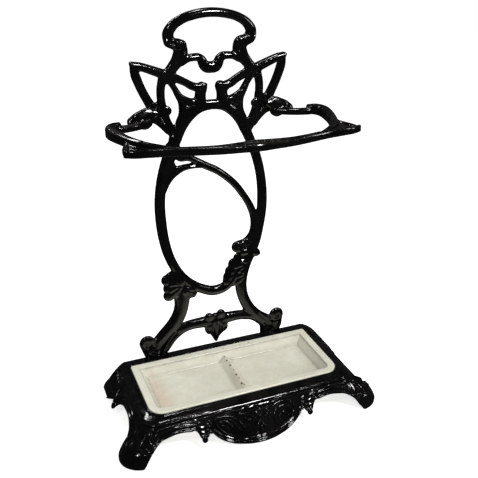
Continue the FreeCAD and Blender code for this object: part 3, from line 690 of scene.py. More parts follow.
def lobe_at(x):
    """One in the middle of the front, falling to nothing at the curls as a squared cosine."""
    return np.cos(np.pi / 2 * np.clip(np.abs(x) / LOBE_HALF, 0, 1)) ** 2


def front_out(x, h):
    """The front skirt's reach: its flare, and the lobe's belly, which grows as h ** 1.5."""
    return FRONT_FLARE * sweep(h) + LOBE_FLARE * lobe_at(x) * h**1.5


def foot_out(angle, h):
    """The club foot: a ball that swells at ankle height, widest a little past the diagonal."""
    round_it = np.sin(np.pi * np.clip(angle / (np.pi / 2), 0, 1) ** 1.3)
    return FOOT_FLARE * round_it * (smooth_step(0.2, 0.62, h) - 0.25 * smooth_step(0.82, 1.0, h))


def corner_out(angle, h):
    """The corner's reach: the front's flare turns into the side's by squared cosine and sine, and the
    foot is added."""
    blend = FRONT_FLARE * np.cos(angle) ** 2 + SIDE_FLARE * np.sin(angle) ** 2
    return blend * sweep(h) + foot_out(angle, h)


def rear_foot_out(h):
    """The rear foot swells a little at the ankle and turns under at the floor."""
    near = np.select(IS, [0.0, 0.0, 1 - smooth_step(40, 62, ALONG), 1.0, 0.0])
    return near * (5.0 * bell(h, 0.55, 0.2) - 20.0 * smooth_step(0.66, 1.0, h))


def flare(z):
    """Sideways and forward shift of every column at heights z."""
    h = height_share(z)
    x0 = rim()[0]
    corner = corner_out(ANGLE, h)
    side = SIDE_FLARE * sweep(h) + rear_foot_out(h)
    spin = np.where(IS[REAR_CORNER], np.cos(ANGLE) ** 0.8, 1.0)
    dx = np.select(IS, [0 * h, corner * np.sin(ANGLE), side, side * spin, 0 * h])
    df = np.select(IS, [front_out(x0, h), corner * np.cos(ANGLE), 0 * h, 0 * h, 0 * h])
    return dx, df


def outward():
    """Unit plan direction out of the skirt at every column."""
    nx = np.select(IS, [0.0, np.sin(ANGLE), 1.0, np.cos(ANGLE), 0.0])
    nf = np.select(IS, [1.0, np.cos(ANGLE), 0.0, -np.sin(ANGLE), -1.0])
    return nx, nf


print("the lobe reaches", round(float(RIM_FRONT + front_out(np.zeros(1), np.ones(1))[0]), 1), "mm forward")

# %% The lower edge: lobe, curls, arches, feet and spurs
def through(knots, x):
    """A smooth height through (x, height) knots: cubic pieces, whose slope at a knot is the mean of
    the slopes on its two sides, weighted towards the shorter side."""
    kx, ky = np.array(sorted(knots), float).T
    run = np.diff(kx)
    rise = np.diff(ky) / run
    inner = (run[1:] * rise[:-1] + run[:-1] * rise[1:]) / (run[:-1] + run[1:])
    slope = np.concatenate([rise[:1], inner, rise[-1:]])
    i = np.clip(np.searchsorted(kx, x) - 1, 0, len(run) - 1)
    t = (x - kx[i]) / run[i]
    start = (1 + 2 * t) * (1 - t) ** 2 * ky[i] + t * (1 - t) ** 2 * run[i] * slope[i]
    end = t**2 * (3 - 2 * t) * ky[i + 1] - t**2 * (1 - t) * run[i] * slope[i + 1]
    return start + end


def edge_heights():
    """Height of the lower edge above the floor, column by column, through a few measured heights."""
    lobe = [(0, 2.0), (30, 2.4), (56, 5.8), (70, 12), (80, 20), (86, 26.4)]
    hook = [(89.6, 27.6), (91.6, 25.4), (94, 23.0), (98, 21.8), (103.5, 21.8), (106.6, 22.8), (108.4, 25.6)]
    front = lobe + hook + [(109.8, 30), (112, 33.5), (124, 36.5), (146, 38.5), (172, 35)]
    corner = [(0, 35), (10, 33), (18, 29), (25, 22), (30, 12), (33, 4), (35, 0), (77, 0), (81, 6),
              (86, 17), (90, 26)]
    side = [(173, 26), (165, 33), (150, 38.5), (122, 41), (96, 37), (84, 30), (78, 23), (74, 20.5), (70, 22),
            (65, 27), (58, 28), (48, 24), (38, 13), (30, 3), (27, 0), (8, 0)]
    rear_corner = [(0, 0), (66, 0), (73, 8), (81, 18), (90, 27)]
    rear = [(188, 27), (175, 34), (160, 36), (151, 31), (146, 20), (98, 20), (93, 31), (80, 38), (60, 42),
            (0, 45)]
    heights = np.zeros(len(ALONG))
    for kind, table in enumerate((front, corner, side, rear_corner, rear)):
        heights[IS[kind]] = through(table, ALONG[IS[kind]])
    return np.maximum(heights, 0.0)


EDGE = edge_heights()
print("the arches rise to", round(float(EDGE.max()), 1), "mm")

# %% [markdown]
# The edge of the skirt carries a raised bead, and one or two ribs follow it at a distance. They are
# not separate pieces, so they are made as relief: each rib is a bell curve of the distance from the
# edge, and lifts the surface along its own normal.

# %% The skirt as a ring of rings
WALL = 5.0
OUTER_ROWS, INNER_ROWS = 52, 22
PLATE_UNDER, LEDGE = 57.0, 60.0               # heights of the top plate's underside and of the tray's ledge
LEDGE_WIDTH, TRAY_GAP = 8.0, 1.2
LIP = 2.8                                     # height of the bead that frames the tray
LIP_STEPS = ((TRAY_GAP, 27, 4, 0.8), (1.6, 27, 4, 0.1), (2.4, 28, 4.5, 0.0), (3.6, 29, 5, 0.7),
             (5.2, 30, 6, 1.9), (7.5, 31, 7, 2.7))
RIM_ROUND, EDGE_ROUND = 1.6, 1.2              # how far the rim and the lower edge are rounded over
FRONT_FILL, REAR_FILL = 12.0, 8.0             # extra thickness of the wall inside the feet
REAR_FOOT = 30                                # how far forward the rear feet's filling goes


def plate_rings():
    """Plan and height of the top plate's rings: up from the ledge, over the lip, and out to the rim. A
    step of the lip is its gap from the tray, its two corner radii, and its drop from the lip's top."""
    rings = [(round_tray(-LEDGE_WIDTH, 14, 4), PLATE_UNDER), (round_tray(-LEDGE_WIDTH, 14, 4), LEDGE)]
    rings.append((round_tray(TRAY_GAP, 27, 4), LEDGE))
    for gap, front_r, rear_r, drop in LIP_STEPS:
        rings.append((round_tray(gap, front_r, rear_r), BASE_TOP + LIP - drop))
    rings.append((rim(2.4, 2.4, 0.6, 22, 6), BASE_TOP))
    rings.append((rim(0.7, 0.7, 0.1, 23.5, 7.5), BASE_TOP - 0.6))
    return rings


def skirt_rows():
    """Rings of (x, forward, z), from the tray opening over the rim, down, under, and up inside. The
    wall is thicker by fill inside the feet."""
    nx, nf = outward()
    rows = [np.stack([x, f, z + 0 * x], axis=-1) for (x, f), z in plate_rings()]
    x0, f0 = rim()
    first = BASE_TOP - RIM_ROUND
    low = EDGE + EDGE_ROUND
    outer = []
    for t in 1 - (1 - np.linspace(0, 1, OUTER_ROWS)) ** 1.25:
        z = first + (low - first) * t
        dx, df = flare(z)
        outer.append(np.stack([x0 + dx, f0 + df, z], axis=-1))
    rows += list(with_relief(np.array(outer)))
    dx, df = flare(low)
    fill = FRONT_FILL * np.select(IS, [0.0, np.sin(2 * ANGLE), 0.0, 0.0, 0.0])
    fill = fill + REAR_FILL * (IS[SIDE_EDGE] & (ALONG < REAR_FOOT))
    for depth, lift in ((1.4, -EDGE_ROUND), (WALL - 1.4, -EDGE_ROUND), (WALL, 0.0)):
        rows.append(np.stack([x0 + dx - nx * depth, f0 + df - nf * depth, low + lift], axis=-1))
    for t in np.linspace(0, 1, INNER_ROWS)[1:]:
        z = low + (PLATE_UNDER - low) * t
        dx, df = flare(z)
        deep = WALL + fill * (1 - smooth_step(0.3, 0.75, t)) * smooth_step(0.0, 0.12, t)
        rows.append(np.stack([x0 + dx - nx * deep, f0 + df - nf * deep, z], axis=-1))
    return np.array(rows)


EDGE_BEAD, EDGE_GROOVE = (1.5, 2.4, 2.2), (-0.7, 6.0, 1.6)      # height, distance, half width
ARCH_RIBS = ((1.5, 10.5, 1.9), (1.2, 18.5, 2.0))
LOBE_RIB = (1.4, 9.0, 1.5)
RIM_BEAD, RIM_GROOVE = (1.1, 57.5, 1.3), (-0.5, 54.6, 1.3)      # the same, by height above the floor


def ribs(distance, *shapes):
    """The sum of several bell curves, each given by its height, middle and half width."""
    return sum(high * bell(distance, middle, half_width) for high, middle, half_width in shapes)


def with_relief(grid):
    """Lifts the outer skirt along its normals by the beads and ribs. Those that follow the lower edge
    fade out between 50 and 54 mm above the floor, below the rim's own bead."""
    down = np.gradient(grid, axis=0)
    round_it = np.gradient(grid, axis=1)
    normal = np.cross(round_it, down)
    normal /= np.maximum(np.linalg.norm(normal, axis=-1), 1e-9)[..., None]
    nx, nf = outward()
    facing = np.sign(normal[..., 0] * nx + normal[..., 1] * nf)
    normal *= np.where(facing == 0, 1.0, facing)[..., None]
    steps = np.linalg.norm(np.diff(grid, axis=0), axis=-1)
    from_edge = np.concatenate([np.cumsum(steps[::-1], axis=0)[::-1], np.zeros((1, grid.shape[1]))])
    x, z = grid[..., 0], grid[..., 2]
    arch = smooth_step(12, 26, EDGE) * (IS[FRONT_EDGE] | IS[CORNER] | IS[SIDE_EDGE])
    on_lobe = IS[FRONT_EDGE] * (1 - smooth_step(LOBE_HALF - 12, LOBE_HALF, x))
    lift = ribs(from_edge, EDGE_BEAD, EDGE_GROOVE)
    lift = lift + ribs(from_edge, *ARCH_RIBS) * arch * (1 - on_lobe)
    lift = lift + ribs(from_edge, LOBE_RIB) * on_lobe
    lift = lift * smooth_step(54, 50, z)
    lift = lift + ribs(z, RIM_BEAD, RIM_GROOVE)
    share = np.select(IS, [1.0, 1.0, 1.0, np.cos(ANGLE) ** 2, 0.0])
    return grid + normal * (lift * share)[..., None]


def base_grid():
    """Both halves: the left is the right mirrored, walked backwards."""
    right = skirt_rows()
    left = right[:, -2:0:-1] * np.array([-1.0, 1.0, 1.0])
    full = np.concatenate([right, left], axis=1)
    return np.stack([full[..., 0] * MM, LAP_Y - full[..., 1] * MM, full[..., 2] * MM], axis=-1)


def torus(grid):
    """Quads of a grid that closes both ways."""
    rows, cols = grid.shape[:2]
    i, j = np.meshgrid(np.arange(rows), np.arange(cols), indexing="ij")
    a, b = (i + 1) % rows, (j + 1) % cols
    quads = np.stack([i * cols + j, i * cols + b, a * cols + b, a * cols + j], axis=-1)
    return grid.reshape(-1, 3), quads.reshape(-1, 4).tolist()


print("the skirt has", base_grid().shape[:2], "rings and columns")

# %% Sheets that follow the skirt
def stand_off(u, z, d, surface):
    """A point that stands d proud of a curved sheet: surface(u, z) is how far the sheet reaches out at
    height z, and the normal leans back by its slope in z."""
    slope = surface(u, z + 0.5) - surface(u, z - 0.5)
    norm = np.sqrt(1 + slope**2)
    return surface(u, z) + d / norm, z - d * slope / norm


def on_apron(u, v, d):
    """The front apron: u sideways, v height, d proud."""
    reach, z = stand_off(u, v, d, lambda x, z: RIM_FRONT + front_out(x, height_share(z)))
    return np.stack([u * MM, LAP_Y - reach * MM, z * MM], axis=-1)


def on_side(side):
    """The side apron: u forward, v height, d proud."""
    def place(u, v, d):
        reach, z = stand_off(u, v, d, lambda f, z: RIM_HALF + SIDE_FLARE * sweep(height_share(z)))
        return np.stack([side * reach * MM, LAP_Y - u * MM, z * MM], axis=-1)
    return place


CORNER_GAUGE = 62.0                           # the radius at which lengths round a corner are true


def on_corner(side):
    """The front corner: u is an arc length at the gauge radius, v height, d proud."""
    def place(u, v, d):
        angle = u / CORNER_GAUGE
        reach, z = stand_off(angle, v, d, lambda a, z: FRONT_R + corner_out(a, height_share(z)))
        x = RIM_HALF - FRONT_R + reach * np.sin(angle)
        f = RIM_FRONT - FRONT_R + reach * np.cos(angle)
        return np.stack([side * x * MM, LAP_Y - f * MM, z * MM], axis=-1)
    return place


print("the middle of the lobe is at", on_apron(np.zeros(1), np.full(1, 20.0), np.zeros(1))[0].round(4))

# %% [markdown]
# The apron's ornament is chased work: long leaves that loop out from the middle of the lobe, a
# swoosh above them, curls that close each arch, and leaf veins on the ankles. Each is a small bar or
# leaf on the sheet that follows the skirt, so it bends with the metal.

# %% Ornaments of the base
THIN = dict(low=-3.0, high=0.1, step=1.1)
LEFT_LOOP = [
    [(27, 21, 3, 0), (31, 29, 4.2, 0.6), (38, 38, 4.4, 0.8), (49, 45, 4.4, 0.8), (66, 48.5, 4.4, 0.8),
     (77, 46.5, 4.2, 0.8), (79, 41, 4.2, 0.8), (74, 34, 4.2, 0.8), (66, 26, 4.2, 0.8), (56, 19, 4, 0.6),
     (43, 13.5, 3, 0)],
    [(68, 41, 2.3, 0), (60, 41, 3.8, 0.4), (52, 35, 4, 0.6), (48, 27, 3.8, 0.4), (44, 19, 2.3, 0)],
    [(72, 35, 2.3, 0), (65, 35, 3.6, 0.4), (58, 29, 3.8, 0.4), (54, 23, 2.3, 0)],
    [(60, 45, 2.3, 0), (50, 41, 3.8, 0.4), (43, 33, 4, 0.6), (38, 24, 3.8, 0.4), (33, 15, 2.3, 0)],
]
RIGHT_LOOP = [
    [(17, 30, 3, 0), (22, 38, 4.2, 0.6), (31, 46, 4.4, 0.8), (43, 49.5, 4.4, 0.8), (58, 49, 4.4, 0.8),
     (68, 43, 4.2, 0.8), (71, 35, 4.2, 0.8), (64, 25, 4.2, 0.8), (50, 16, 3.8, 0.4), (38, 13, 3, 0)],
    [(38, 44, 2.3, 0), (31, 38, 4, 0.6), (28, 30, 4, 0.6), (30, 22, 3.8, 0.4), (36, 16, 2.3, 0)],
    [(42, 42, 3, 0.2), (52, 43, 4, 0.6), (60, 38, 4, 0.6), (59, 30, 3.8, 0.4), (50, 22, 2.3, 0)],
    [(42, 35, 2.3, 0), (38, 29, 3.6, 0.4), (42, 22, 2.3, 0)],
]


SWOOSHES = [
    [(98, 50, 2, 0), (80, 54, 3.4, 0.6), (60, 56, 4.4, 1), (40, 55.5, 4, 0.8), (26, 53, 2, 0)],
    [(132, 52, 2, 0), (116, 50.5, 3.4, 0.6), (100, 45, 4, 0.8), (90, 38, 3.2, 0.6), (84, 29, 2, 0)],
]


def apron_ornament(side):
    """A leaf loop with curved ribs inside it, two swooshes below the rim and the curl that ends the arch."""
    place = one_side(on_apron, side)
    out = [bar(line, place, crown=3.4, **THIN) for line in (LEFT_LOOP if side < 0 else RIGHT_LOOP)]
    out += [bar(line, place, crown=2.2, **THIN) for line in SWOOSHES]
    out += [
        leaf([(22, 12), (30, 11), (40, 9.5), (52, 11)], place, 3.4, lift=0.8, low=-3),
        curl(99.5, 22, 5.4, 150, 1.1, 3.6, place, lift=1.8, low=-3, spin=-1),
        bead(101, 20.5, 5.4, place, height=2.8, low=-4),
        leaf([(88, 27), (85, 36), (88, 44), (96, 50)], place, 5, lift=1.0, low=-3),
    ]
    return out


def middle_ornament():
    """The small flower between the loops: a stem, crossing leaves, two rolled tips and three seeds. A
    fourth seed lies in the right loop."""
    leaves = [
        ([(-3, 8), (-1, 18), (1, 27), (1, 35)], 5), ([(1, 34), (5, 27), (9, 21), (15, 15)], 4.5),
        ([(1, 34), (-6, 28), (-13, 23), (-20, 20)], 4.5), ([(-4, 20), (-10, 17), (-15, 12), (-18, 9)], 4),
        ([(4, 18), (10, 14), (14, 10), (22, 9)], 4), ([(-8, 37), (-16, 42), (-27, 45), (-38, 49)], 5.5),
        ([(-12, 34), (-20, 36), (-26, 40), (-30, 41)], 4), ([(8, 38), (14, 43), (20, 46), (27, 47)], 5.5),
        ([(12, 34), (16, 38), (21, 40), (25, 40)], 3.6), ([(-10, 50), (-4, 52), (4, 52), (12, 50)], 4),
        ([(-26, 51), (-18, 54), (-10, 55), (0, 55)], 4),
    ]
    out = [leaf(line, on_apron, width, lift=3.0, low=-3) for line, width in leaves]
    out.append(curl(-22, 41, 4.2, 60, 0.9, 2.8, on_apron, lift=1.4, low=-2))
    out.append(curl(17, 43, 3.8, 110, 0.9, 2.6, on_apron, lift=1.4, low=-2, spin=-1))
    seeds = ((-3, 43, 3.6), (4, 46, 2.8), (2, 38, 2.8), (48, 33, 3.2))
    out += [bead(u, v, r, on_apron, height=3.0, low=-3) for u, v, r in seeds]
    return out


def ankle_ornament(side):
    """Four leaf veins that fan out down the ankle, with a small curl on each side of them."""
    place = on_corner(side)
    out = []
    for start, lean in ((0.60, -9), (0.82, -3), (1.02, 3), (1.22, 9)):
        u = start * CORNER_GAUGE
        vein = [(u, 50), (u + lean * 0.4, 42), (u + lean, 34), (u + lean * 1.5, 27)]
        out.append(leaf(vein, place, 7, lift=0.8, low=-3))
    out.append(curl(0.58 * CORNER_GAUGE, 30, 5, 200, 1.0, 3.4, place, lift=1.2, low=-3))
    out.append(curl(1.28 * CORNER_GAUGE, 29, 5, -20, 1.0, 3.4, place, lift=1.2, low=-3, spin=-1))
    return out


def side_ornament(side):
    """The spur's curl and leaf, and five veins that fan down the rear foot."""
    place = on_side(side)
    out = [
        curl(73, 25, 4.6, 30, 1.0, 3.6, place, lift=2.4, low=-3, spin=-1),
        bead(74, 24, 5.6, place, height=3.4, low=-4),
        leaf([(72, 22), (66, 32), (60, 42), (58, 52)], place, 6, lift=1.4, low=-3),
    ]
    for k in range(5):
        vein = [(6 + 7 * k, 58), (9 + 8 * k, 46), (10 + 8.5 * k, 34), (9 + 8 * k, 22)]
        out.append(leaf(vein, place, 6, lift=1.3, low=-3))
    return out


BASE_STROKES = [torus(base_grid())] + middle_ornament()
for side in (-1, 1):
    BASE_STROKES += apron_ornament(side) + ankle_ornament(side) + side_ornament(side)
print(len(BASE_STROKES) - 1, "ornaments on the base")

# %% The base as a piece
def face_outwards(piece):
    """Turns every closed shell of a piece so that its faces look out."""
    work = bmesh.new()
    work.from_mesh(piece.data)
    bmesh.ops.remove_doubles(work, verts=work.verts, dist=1e-7)
    bmesh.ops.recalc_face_normals(work, faces=work.faces)
    work.to_mesh(piece.data)
    work.free()


base = new_object("base_casting_detail", *pour(BASE_STROKES))
face_outwards(base)
shade_smooth(base)
report(base)

# %% [markdown]
# ## The drip tray
#
# The tray is enamelled iron: a flat flange, sloping walls, two wells and a low ridge between them.
# It is a height above a sheet. The height depends on the distance to the edge, worked out for
# a rectangle with rounded corners, so that the same rule shapes the flange, walls and floor. The
# sheet's own grid is bent into the rounded outline first.

# %% Tray shape
TRAY_DEPTH = (TRAY_HIGH.y - TRAY_LOW.y) / MM
TRAY_MID_Y = (TRAY_HIGH.y + TRAY_LOW.y) / 2
TRAY_TOP = TRAY_HIGH.z / MM
FLANGE, FLANGE_THICK = 14.0, 6.0              # width and thickness of the flat rim
WALL_RUN, WELL = 12.0, 18.0                   # how far a wall leans in, and how deep it goes
ROLL, THINNEST = 2.2, 2.0                     # radius of the rim's edge, and the least thickness
WIDE_CORNER, TIGHT_CORNER = 26.0, 4.0         # plan radii in front and behind
RIDGE, RIDGE_HALF, RIDGE_RUN = 9.5, 1.6, 10.5  # the ridge's height, flat half width and slope
SAG = 0.5                                     # how far the flange and the floors dip


def crowded(half):
    """From -half to half, with samples crowded on the rolled edge, the crease and the wall's foot."""
    foot = FLANGE + WALL_RUN
    stops = (0.0, ROLL + 0.2, FLANGE - 1.2, FLANGE + 1.2, foot - 1.6, foot + 2.0)
    counts = (7, 6, 8, 6, 6)
    near = [np.linspace(a, b, count, endpoint=False) for a, b, count in zip(stops, stops[1:], counts)]
    inward = np.concatenate(near + [np.linspace(stops[-1], half, int((half - stops[-1]) / 1.6))])
    return np.concatenate([inward - half, (half - inward)[-2::-1]])


def round_corner(x, y, half_x, half_y, r):
    """Bends the square in each corner into a quarter disc: a' = a * sqrt(1 - b * b / 2)."""
    a = np.clip((np.abs(x) - (half_x - r)) / r, 0, 1)
    b = np.clip((np.abs(y) - (half_y - r)) / r, 0, 1)
    in_corner = (a > 0) & (b > 0)
    new_x = np.sign(x) * (half_x - r + r * a * np.sqrt(1 - b**2 / 2))
    new_y = np.sign(y) * (half_y - r + r * b * np.sqrt(1 - a**2 / 2))
    return np.where(in_corner, new_x, x), np.where(in_corner, new_y, y)


def inside_by(x, y, half_x, half_y, r):
    """Distance inward from the edge of a rounded rectangle."""
    qx, qy = np.abs(x) - (half_x - r), np.abs(y) - (half_y - r)
    outside = np.hypot(np.maximum(qx, 0), np.maximum(qy, 0))
    return r - outside - np.minimum(np.maximum(qx, qy), 0)


def soft_clamp(w, soft=0.0012):
    """Zero below 0 and one above 1, with small fillets: half of root(w² + s) - root((w - 1)² + s) + 1."""
    return 0.5 * (np.sqrt(w**2 + soft) - np.sqrt((w - 1) ** 2 + soft) + 1)


def from_outline(x, y):
    """Distance inward from the tray's outline, whose corners are wide in front and tight behind."""
    wide = inside_by(x, y, TRAY_HALF, TRAY_DEPTH / 2, WIDE_CORNER)
    tight = inside_by(x, y, TRAY_HALF, TRAY_DEPTH / 2, TIGHT_CORNER)
    return np.maximum(np.where(y < 0, wide, tight), 0)


def tray_top(x, y, d):
    """Height of the enamel: the rolled edge, the flange, a smooth drop into the wells, and the ridge,
    which is joined on by the smooth maximum (a + b + root((a - b)² + s)) / 2."""
    edge = np.where(d < ROLL, ROLL - np.sqrt(np.maximum(ROLL**2 - (ROLL - d) ** 2, 0)), 0)
    top = TRAY_TOP - edge - SAG * smooth_step(2, FLANGE, d) - WELL * soft_clamp((d - FLANGE) / WALL_RUN)
    floor = TRAY_TOP - WELL
    ridge = floor + RIDGE * (1 - soft_clamp((np.abs(x) - RIDGE_HALF) / RIDGE_RUN, 0.003))
    over = 0.5 * (top + ridge + np.sqrt((top - ridge) ** 2 + 0.8))
    joined = top + (over - top) * smooth_step(FLANGE, FLANGE + 4, d)
    top = np.where(ridge > floor + 0.05, joined, top)
    dip = SAG * np.cos(np.pi * x / TRAY_HALF / 2) * np.cos(np.pi * y / TRAY_DEPTH)
    return top - dip * smooth_step(FLANGE + WALL_RUN, FLANGE + WALL_RUN + 20, d)


def tray_piece():
    """The bent grid twice: once at the height of the enamel, and once at that of the underside."""
    half_y = TRAY_DEPTH / 2
    gx, gy = np.meshgrid(crowded(TRAY_HALF), crowded(half_y), indexing="ij")
    fx, fy = round_corner(gx, gy, TRAY_HALF, half_y, WIDE_CORNER)
    rx, ry = round_corner(gx, gy, TRAY_HALF, half_y, TIGHT_CORNER)
    x, y = np.where(gy < 0, fx, rx), np.where(gy < 0, fy, ry)
    d = from_outline(x, y)
    top = tray_top(x, y, d)
    under, low = TRAY_TOP - FLANGE_THICK, TRAY_LOW.z / MM
    bottom = under - (under - low) * soft_clamp((d - FLANGE + 4.0) / WALL_RUN)
    bottom = np.minimum(bottom, top - THINNEST)
    up = np.stack([x * MM, TRAY_MID_Y + y * MM, top * MM], axis=-1)
    down = np.stack([x * MM, TRAY_MID_Y + y * MM, bottom * MM], axis=-1)
    return two_sided(up, down)


def mark_dirt_and_shade(piece):
    """Stores how dark the cream is painted at each vertex, partly dirt and partly painted shade: a line at
    the flange's crease, a softer one at the foot of the wall, two more along the ridge, and a thin film on
    the walls and the floors."""
    place = np.empty(len(piece.data.vertices) * 3)
    piece.data.vertices.foreach_get("co", place)
    x, y = place[0::3] / MM, (place[1::3] - TRAY_MID_Y) / MM
    d = from_outline(x, y)
    # Partly dirt and partly painted shade: these bands darken the crease, the wall's foot, the ridge's foot,
    # the walls and the floors, where shade falls.
    crease = bell(d, FLANGE + 0.8, 1.1)
    foot = bell(d, FLANGE + WALL_RUN, 2.4)
    ridge = bell(np.abs(x), RIDGE_RUN + RIDGE_HALF, 2.2) * smooth_step(FLANGE + 6, FLANGE + 12, d)
    wall = smooth_step(FLANGE, FLANGE + 2, d) * smooth_step(FLANGE + WALL_RUN + 30, FLANGE + WALL_RUN, d)
    floor = smooth_step(FLANGE + WALL_RUN - 3, FLANGE + WALL_RUN + 5, d)
    dirt_and_shade = crease + 0.5 * foot + 0.2 * ridge + 0.10 * wall + 0.16 * floor
    layer = piece.data.attributes.new("grime_and_shade", "FLOAT", "POINT")
    layer.data.foreach_set("value", np.clip(dirt_and_shade, 0, 1))


def two_sided(up, down):
    """A closed slab from an upper and a lower grid, joined along the rim."""
    n, m = up.shape[:2]
    i, j = np.meshgrid(np.arange(n - 1), np.arange(m - 1), indexing="ij")
    quads = np.stack([i * m + j, (i + 1) * m + j, (i + 1) * m + j + 1, i * m + j + 1], axis=-1)
    quads = quads.reshape(-1, 4)
    below = quads[:, ::-1] + n * m
    index = np.arange(n * m).reshape(n, m)
    loop = np.concatenate([index[:, 0], index[-1, 1:], index[-2::-1, -1], index[0, -2:0:-1]])
    after = np.roll(loop, -1)
    wall = np.stack([loop, loop + n * m, after + n * m, after], axis=-1)
    faces = np.concatenate([quads, below, wall]).tolist()
    return np.vstack([up.reshape(-1, 3), down.reshape(-1, 3)]), faces


tray = new_object("drip_tray_detail", *tray_piece())
face_outwards(tray)
mark_dirt_and_shade(tray)
shade_smooth(tray)
report(tray)

# %% [markdown]
# ## Finishes
#
# Three effects serve more than one finish, so each is a node group: a fine cast grain that dimples
# the surface, dust that settles on faces that look up, and wear that thins the paint on raised
# edges. The groups give only masks and heights. Each finish mixes them with its own colours, and
# plain numbers that are the same everywhere are set on the shader itself.

# %% Building node trees
def group(name, inputs, outputs):
    """An empty node group with value inputs (name, default) and value outputs."""
    tree = bpy.data.node_groups.new(name, "ShaderNodeTree")
    for label, value in inputs:
        socket = tree.interface.new_socket(label, in_out="INPUT", socket_type="NodeSocketFloat")
        socket.default_value = value
    for label in outputs:
        tree.interface.new_socket(label, in_out="OUTPUT", socket_type="NodeSocketFloat")
    return tree, tree.nodes.new("NodeGroupInput").outputs, tree.nodes.new("NodeGroupOutput").inputs


def noise(tree, scale, detail=3.0, roughness=0.55):
    """A noise value on Object coordinates. scale is a number or a socket."""
    node = tree.nodes.new("ShaderNodeTexNoise")
    tree.links.new(tree.nodes.new("ShaderNodeTexCoord").outputs["Object"], node.inputs["Vector"])
    feed(tree, node.inputs["Scale"], scale)
    node.inputs["Detail"].default_value = detail
    node.inputs["Roughness"].default_value = roughness
    return node.outputs["Fac"]


def feed(tree, socket, value):
    """Links a socket, or sets a plain number."""
    if isinstance(value, bpy.types.NodeSocket):
        tree.links.new(value, socket)
    else:
        socket.default_value = value


def math_node(tree, operation, a, b=0.0, clamp=False):
    node = tree.nodes.new("ShaderNodeMath")
    node.operation = operation
    node.use_clamp = clamp
    feed(tree, node.inputs[0], a)
    feed(tree, node.inputs[1], b)
    return node.outputs[0]


def between(tree, value, low, high, to_low=0.0, to_high=1.0):
    """A smooth step of value from low..high to to_low..to_high."""
    node = tree.nodes.new("ShaderNodeMapRange")
    node.interpolation_type = "SMOOTHSTEP"
    feed(tree, node.inputs["Value"], value)
    feed(tree, node.inputs["From Min"], low)
    feed(tree, node.inputs["From Max"], high)
    feed(tree, node.inputs["To Min"], to_low)
    feed(tree, node.inputs["To Max"], to_high)
    return node.outputs["Result"]


def mix_colour(tree, mask, a, b):
    """Colour a where the mask is 0 and b where it is 1."""
    node = tree.nodes.new("ShaderNodeMix")
    node.data_type = "RGBA"
    feed(tree, node.inputs[0], mask)
    for socket, colour in ((node.inputs[6], a), (node.inputs[7], b)):
        feed(tree, socket, colour if isinstance(colour, bpy.types.NodeSocket) else (*colour, 1.0))
    return node.outputs[2]


print("node helpers ready")

# %% Shared effects
def make_cast_grain():
    """Height of a sand-cast skin: soft swells with fine pimples on top."""
    inputs = [("Swell size", 90.0), ("Pimple size", 520.0), ("Pimples", 0.5)]
    tree, given, out = group("cast_grain", inputs, ["Height"])
    swell = noise(tree, given["Swell size"], detail=2.0)
    pimple = noise(tree, given["Pimple size"], detail=3.0, roughness=0.65)
    part = math_node(tree, "MULTIPLY", pimple, given["Pimples"])
    tree.links.new(math_node(tree, "ADD", swell, part), out["Height"])
    return tree


def make_settled_dust():
    """Mask of dust: faces that look up, broken by patchy noise."""
    tree, given, out = group("settled_dust", [("Reach", 0.55), ("Patch size", 24.0)], ["Mask"])
    split = tree.nodes.new("ShaderNodeSeparateXYZ")
    tree.links.new(tree.nodes.new("ShaderNodeNewGeometry").outputs["Normal"], split.inputs[0])
    looks_up = between(tree, split.outputs["Z"], given["Reach"], 1.0)
    patch = between(tree, noise(tree, given["Patch size"], detail=5.0, roughness=0.7), 0.42, 0.62)
    tree.links.new(math_node(tree, "MULTIPLY", looks_up, patch), out["Mask"])
    return tree


def make_edge_wear():
    """Mask of worn ridges: convex edges, broken by fine noise."""
    tree, given, out = group("edge_wear", [("From", 0.53), ("To", 0.6), ("Chip size", 160.0)], ["Mask"])
    pointed = tree.nodes.new("ShaderNodeNewGeometry").outputs["Pointiness"]
    ridge = between(tree, pointed, given["From"], given["To"])
    chip = between(tree, noise(tree, given["Chip size"], detail=5.0, roughness=0.7), 0.45, 0.6)
    tree.links.new(math_node(tree, "MULTIPLY", ridge, chip), out["Mask"])
    return tree


CAST_GRAIN = make_cast_grain()
SETTLED_DUST = make_settled_dust()
EDGE_WEAR = make_edge_wear()
print("groups:", [g.name for g in bpy.data.node_groups])

# %% Starting a finish
def place_group(tree, group_tree, **values):
    """Puts a group into a material and sets its inputs; underscores stand for spaces."""
    node = tree.nodes.new("ShaderNodeGroup")
    node.node_tree = group_tree
    for label, value in values.items():
        feed(tree, node.inputs[label.replace("_", " ")], value)
    return node.outputs[0]


def finish(name):
    """A material with a Principled shader, and its node tree."""
    material = bpy.data.materials.new(name)
    material.use_nodes = True
    tree = material.node_tree
    tree.nodes.clear()
    shader = tree.nodes.new("ShaderNodeBsdfPrincipled")
    end = tree.nodes.new("ShaderNodeOutputMaterial")
    tree.links.new(shader.outputs[0], end.inputs["Surface"])
    return material, tree, shader.inputs


def add_bump(tree, shader, height, strength, distance):
    bump = tree.nodes.new("ShaderNodeBump")
    bump.inputs["Strength"].default_value = strength
    bump.inputs["Distance"].default_value = distance
    tree.links.new(height, bump.inputs["Height"])
    tree.links.new(bump.outputs["Normal"], shader["Normal"])


print("ready to mix finishes")

# %% [markdown]
# ### Black enamel
#
# The stand is dipped in black stoving enamel: nearly black, wet-looking, with a faint orange peel
# from the casting below. Dust dulls the level tops, and handled edges show a brown-grey bloom, most of
# all on the rail. One function makes it, and the back, the rail and the base take their own shares.

